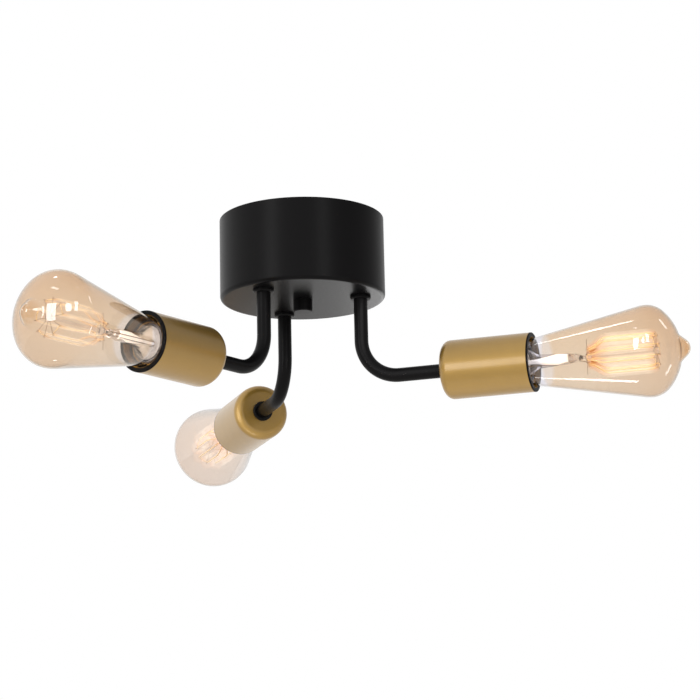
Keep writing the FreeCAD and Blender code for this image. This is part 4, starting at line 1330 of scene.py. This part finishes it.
class LIGHT_OT_filaments(bpy.types.Operator):
    """Glowing cages of strands.

    glow has each lamp's strand radius and the radius of the bloom round it, which the photograph shows
    faint in lamp a and wide in lamp b.
    """

    bl_idname = "light.filaments"
    bl_label = "Filaments"
    glow = {"a": (0.16 * MM, 1.0 * MM), "b": (0.45 * MM, 5.0 * MM), "c": (0.5 * MM, 3.0 * MM)}
    link_wire = 0.25 * MM
    drawn_in = 1.2 * MM

    def execute(self, context):
        for arm in ARMS:
            body = "lamp_" + arm
            thickness, spread = self.glow[arm]
            cage = self.strands(thickness) + self.links(self.link_wire)
            add_arm_piece(arm, "glowing_cage", cage, glowing_filament(), body, "filament")
            bloom = add_arm_piece(
                arm, "cage_glow", self.strands(spread), glow_round_strand(), body)
            bloom.visible_shadow = False
        return {"FINISHED"}

    def strand(self):
        """Line of a strand, (axial, radial).

        Its radius eases from the waist to the cage's radius, runs level and draws in a little at its end.
        """
        lamp = chosen("lamp")
        start, end = CAGE_START + lamp.hook_ring, CAGE_END - lamp.hook_ring
        x = np.linspace(start, end, 48)
        spread = ease(x, start + 0.5 * MM, start + 13 * MM)
        draw = ease(x, end - 5 * MM, end + 2 * MM)
        radius = lamp.cage_waist + (lamp.cage_radius - lamp.cage_waist) * spread - self.drawn_in * draw
        return np.stack([x, radius], 1)

    def strands(self, thickness):
        """All strands of a cage."""
        count = chosen("lamp").strands
        return [wire_in_plane(self.strand(), TURN * index / count, thickness, 12) for index in range(count)]

    def links(self, thickness):
        """Bends that join the strands to one zigzag, at the far and the near end in turn.

        Each goes round the axis from strand to strand and bows outwards along it by half a sine wave.
        """
        lamp = chosen("lamp")
        line = self.strand()
        made = []
        for index in range(lamp.strands - 1):
            (place, reach), bulge = (line[0], -lamp.hook_ring) if index % 2 else (line[-1], lamp.hook_ring)
            share = np.linspace(0, 1, 12)
            turn = TURN * (index + share) / lamp.strands
            path = np.stack([
                place + bulge * np.sin(math.pi * share), reach * np.cos(turn), reach * np.sin(turn)], 1)
            middle = TURN * (index + 0.5) / lamp.strands
            made.append(wire(path, (0, math.cos(middle), math.sin(middle)), thickness, 8))
        return made


# ---- CAD nodes that stay -----------------------------------------------------------------------------
CREASE = math.radians(32)


def joined_and_smooth():
    """Node group that joins a CAD node's loose triangles and shades them smooth up to the crease angle."""
    group = bpy.data.node_groups.new("joined_and_smooth", "GeometryNodeTree")
    for direction in ("INPUT", "OUTPUT"):
        group.interface.new_socket("Geometry", in_out=direction, socket_type="NodeSocketGeometry")
    source = add_node(group, "NodeGroupInput")
    merged = add_node(group, "GeometryNodeMergeByDistance", {"Geometry": source, "Distance": 1e-6})
    angle_across = add_node(group, "GeometryNodeInputMeshEdgeAngle")
    sharp = add_node(group, "ShaderNodeMath", (angle_across, CREASE), operation="GREATER_THAN")
    smooth = add_node(group, "GeometryNodeSetShadeSmooth", {"Geometry": merged, "Shade Smooth": True})
    creased = add_node(group, "GeometryNodeSetShadeSmooth", {
        "Geometry": smooth, "Selection": sharp, "Shade Smooth": False}, domain="EDGE")
    group.links.new(creased, group.nodes.new("NodeGroupOutput").inputs[0])
    return group


class LIGHT_OT_inner_parts(bpy.types.Operator):
    """Finishes for the bracket, wiring and fastenings, whose CAD shapes are shown."""

    bl_idname = "light.inner_parts"
    bl_label = "Bracket, wiring and fastenings"

    def execute(self, context):
        group = joined_and_smooth()
        finishes = {
            zinc_plated_steel(): [
                "ceiling_bracket", "stud_nut", "terminal_screws", "block_screw", "earth_stud",
                "earth_tag", "arm_lock_washers", "arm_lock_nuts"],
            bare_pressed_brass(): [
                "terminal_sleeves", "earth_nut", *("centre_contact_" + arm for arm in ARMS)],
            moulded_white_polyamide(): ["terminal_block"],
            extruded_black_sheath(): ["arm_lead_" + arm for arm in ARMS],
            extruded_earth_sheath(): ["earth_lead"],
        }
        for material, nodes in finishes.items():
            for node in nodes:
                piece = frame["nodes"][node]
                for slot in piece.material_slots:
                    slot.material = material
                piece.modifiers.new("joined_and_smooth", "NODES").node_group = group
                piece.modifiers.new("normals", "WEIGHTED_NORMAL").keep_sharp = True
        return {"FINISHED"}


# ---- stage --------------------------------------------------------------------------------------------
# The room is dimmest where this direction points, up and to the right.
DIM_SIDE = (0.8, 0.0, 0.6)

# The pieces that each kind of soft box lights, by the start of their names.
RECEIVERS = {
    "glass": ("pear_glass", "glass_stem"),
    "brass": ("drawn_cup",),
    "near_cups": ("drawn_cup_a", "drawn_cup_c"),
    "far_cup": ("drawn_cup_b",),
    "right_arm": ("bent_tube_c", "cup_ring_c"),
    "drum": ("canopy_drum",),
    "black": ("canopy_drum", "turned_finial", "bent_tube", "canopy_ring", "cup_ring"),
}

# Soft boxes on a sphere round the light: azimuth from the front towards the right and elevation of both
# ends, and breadth, all in degrees, brightness, where the white behind the light has 1, and receivers.
SOFT_BOXES = (
    ("tall_window", (-38, -6), (-38, 24), 17, 16.0, "glass"),
    ("middle_window", (-7, 8), (-7, 23), 10, 16.0, "glass"),
    ("right_window", (14, 9), (16, 29), 14, 14.0, "glass"),
    ("left_bar", (-92, 26), (-73, 15), 4, 12.0, "glass"),
    ("short_bar", (-73, 15), (-66, 24), 4, 12.0, "glass"),
    ("high_bar", (-57, 51), (-37, 49), 3, 10.0, "glass"),
    ("high_spot", (44, 62), (48, 64), 3, 10.0, "glass"),
    ("upper_streak", (-92, 64), (-92, 68), 6, 14.0, "glass"),
    ("lower_streak", (-139, -62), (-125, -66.6), 5, 14.0, "glass"),
    ("right_bar", (100, 28), (100, 40), 6, 6.0, "glass"),
    ("right_low_bar", (104, -23), (104, -10), 6, 6.0, "glass"),
    ("left_box", (-35, -14), (-35, 12), 12, 4.0, "brass"),
    ("low_box", (-100, -45), (80, -45), 60, 0.25, "near_cups"),
    ("ring_box", (-64, 22), (-56, -28), 10, 3.6, "far_cup"),
    ("ring_low_box", (-50, -40), (30, -70), 8, 3.0, "far_cup"),
    ("soft_left", (-44, -20), (-44, 40), 14, 2.4, "black"),
    ("soft_right", (31, -20), (31, 40), 12, 2.0, "black"),
    ("right_arm_box", (5, -35), (5, 35), 36, 2.2, "right_arm"),
)
SPHERE_RADIUS = 2.2
SPHERE_CENTRE = Vector((0, -0.1, -0.12))

# A small box behind and below the light, which shows the drum's floor: side in metres, watts and place.
UNDER_SIDE, UNDER_POWER = 0.30, 0.6
UNDER_PLACE, UNDER_AIM = Vector((0.20, 0.55, -0.24)), Vector((0, 0, -0.06))

FLOOR_HALF = 9.0
PICTURE = 700.0   # pixels across the picture
SENSOR = 36.0     # millimetres across the camera's sensor


class LIGHT_OT_stage(bpy.types.Operator):
    """Pale floor, soft light and the camera at the photograph's angle."""

    bl_idname = "light.stage"
    bl_label = "Stage"

    def execute(self, context):
        self.floor()
        self.world()
        self.lights()
        self.camera()
        context.scene.view_settings.view_transform = "Standard"
        return {"FINISHED"}

    def floor(self):
        """Wide level floor a room's height below the ceiling."""
        signs = ((-1, -1), (1, -1), (1, 1), (-1, 1))
        corners = [(x * FLOOR_HALF, y * FLOOR_HALF, -chosen("stage").floor_drop) for x, y in signs]
        mesh = bpy.data.meshes.new("floor")
        mesh.from_pydata(corners, [], [(0, 1, 2, 3)])
        mesh.materials.append(pale_floor())
        floor = bpy.data.objects.new("floor", mesh)
        bpy.context.scene.collection.objects.link(floor)

    def world(self):
        """White behind the light, also through glass. What its surfaces mirror dims up and to the right."""
        world = bpy.data.worlds.new("studio")
        world.use_nodes = True
        bpy.context.scene.world = world
        tree = world.node_tree
        behind = tree.nodes["Background"]
        fill(tree, behind.inputs, {"Color": (1, 1, 1, 1), "Strength": 1.0})
        place = add_node(tree, "ShaderNodeTexCoord", output="Generated")
        dim = add_node(tree, "ShaderNodeVectorMath", (place, DIM_SIDE), "Value", operation="DOT_PRODUCT")
        level = add_node(tree, "ShaderNodeMapRange", (dim, 0.2, 0.9, 0.95, 0.42))
        mirrored = add_node(tree, "ShaderNodeBackground", {"Color": (1, 1, 1, 1), "Strength": level})
        seen = add_node(tree, "ShaderNodeLightPath", output="Is Camera Ray")
        through = add_node(tree, "ShaderNodeLightPath", output="Is Transmission Ray")
        clear = add_node(tree, "ShaderNodeMath", (seen, through), operation="MAXIMUM")
        mixed = add_node(tree, "ShaderNodeMixShader", (clear, mirrored, behind.outputs[0]))
        tree.links.new(mixed, tree.nodes["World Output"].inputs["Surface"])

    def lights(self):
        """Soft boxes, each linked to the pieces that it lights."""
        groups = {kind: bpy.data.collections.new(kind + "_pieces") for kind in RECEIVERS}
        for piece in bpy.context.scene.objects:
            for kind, starts in RECEIVERS.items():
                if piece.name.startswith(starts):
                    groups[kind].objects.link(piece)
        for name, first, second, breadth, brightness, kind in SOFT_BOXES:
            start, end = self.towards(*first), self.towards(*second)
            middle, along = (start + end).normalized(), (end - start).normalized()
            across = 2 * SPHERE_RADIUS * math.tan(math.radians(breadth / 2))
            size = across, SPHERE_RADIUS * (end - start).length
            axes = Matrix((along.cross(middle), along, middle)).transposed().to_4x4()
            place = Matrix.Translation(SPHERE_CENTRE + SPHERE_RADIUS * middle) @ axes
            self.soft_box(name, size, brightness * math.pi * size[0] * size[1], place, groups[kind])
        turn = (UNDER_AIM - UNDER_PLACE).to_track_quat("-Z", "Y").to_matrix().to_4x4()
        self.soft_box("under_right", (UNDER_SIDE, UNDER_SIDE), UNDER_POWER,
                      Matrix.Translation(UNDER_PLACE) @ turn, groups["drum"])

    def towards(self, azimuth, elevation):
        """Unit vector at an azimuth from the front towards the right and an elevation, in degrees."""
        across, rise = math.radians(azimuth), math.radians(elevation)
        return Vector((math.sin(across) * math.cos(rise), -math.cos(across) * math.cos(rise), math.sin(rise)))

    def soft_box(self, name, size, power, place, receivers):
        """Area light that shows in its receivers' gloss, and not to the camera or through glass."""
        light = bpy.data.lights.new(name, "AREA")
        light.shape = "RECTANGLE"
        light.size, light.size_y = size
        light.energy = power
        lamp = bpy.data.objects.new(name, light)
        lamp.matrix_world = place
        lamp.visible_camera = False
        lamp.visible_transmission = False
        lamp.light_linking.receiver_collection = receivers
        bpy.context.scene.collection.objects.link(lamp)

    def camera(self):
        """Camera in front of and below the light, turned so that the canopy is at its pixel, and rolled."""
        stage = chosen("stage")
        lens = bpy.data.cameras.new("camera")
        lens.sensor_width = SENSOR
        lens.lens = stage.focal_px / PICTURE * SENSOR
        lens.clip_start, lens.clip_end = 0.05, 60.0
        target = Vector((0, 0, -chosen("body").canopy_height / 2))
        back = Vector((0, -math.cos(stage.elevation), -math.sin(stage.elevation)))
        forward, right = -back, Vector((1, 0, 0))
        up = right.cross(forward)
        across = (stage.canopy_px[0] - PICTURE / 2) / stage.focal_px
        rise = (PICTURE / 2 - stage.canopy_px[1]) / stage.focal_px
        unrolled = Matrix.Rotation(-stage.roll, 2) @ Vector((across, rise))
        pitch = math.asin(unrolled.y / math.sqrt(unrolled.length_squared + 1))
        yaw = math.atan(unrolled.x)
        aim = math.cos(pitch) * (math.cos(yaw) * forward - math.sin(yaw) * right) - math.sin(pitch) * up
        side = aim.cross(up).normalized()
        axes = Matrix((side, side.cross(aim), -aim)).transposed() @ Matrix.Rotation(-stage.roll, 3, "Z")
        camera = bpy.data.objects.new("camera", lens)
        camera.matrix_world = Matrix.Translation(target + back * stage.distance) @ axes.to_4x4()
        bpy.context.scene.collection.objects.link(camera)
        bpy.context.scene.camera = camera


# ---- the add-on ------------------------------------------------------------------------------------------
OPERATORS = (
    LIGHT_OT_canopy, LIGHT_OT_finial, LIGHT_OT_arms, LIGHT_OT_cups, LIGHT_OT_lampholders,
    LIGHT_OT_glass, LIGHT_OT_caps, LIGHT_OT_mounts, LIGHT_OT_filaments, LIGHT_OT_inner_parts,
    LIGHT_OT_stage)
GROUPS = {
    "light_body": LIGHT_PG_body, "light_lamp": LIGHT_PG_lamp,
    "light_finish": LIGHT_PG_finish, "light_stage": LIGHT_PG_stage}


class LIGHT_PT_panel(bpy.types.Panel):
    """Lists the settings and the operators."""

    bl_idname = "LIGHT_PT_panel"
    bl_label = "Ceiling light"
    bl_space_type = "VIEW_3D"
    bl_region_type = "UI"
    bl_category = "Ceiling light"

    def draw(self, context):
        for name, group in GROUPS.items():
            for key in group.__annotations__:
                self.layout.prop(getattr(context.scene, name), key)
        for operator in OPERATORS:
            self.layout.operator(operator.bl_idname)


def register():
    """Adds the settings, operators and panel."""
    for cls in (*GROUPS.values(), *OPERATORS, LIGHT_PT_panel):
        bpy.utils.register_class(cls)
    for name, group in GROUPS.items():
        setattr(bpy.types.Scene, name, bpy.props.PointerProperty(type=group))


def unregister():
    """Removes them again."""
    for name in GROUPS:
        delattr(bpy.types.Scene, name)
    for cls in (LIGHT_PT_panel, *reversed(OPERATORS), *reversed(list(GROUPS.values()))):
        bpy.utils.unregister_class(cls)


def main():
    """Registers the add-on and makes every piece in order."""
    register()
    for operator in OPERATORS:
        group, name = operator.bl_idname.split(".")
        getattr(getattr(bpy.ops, group), name)()


if __name__ == "__main__":
    main()
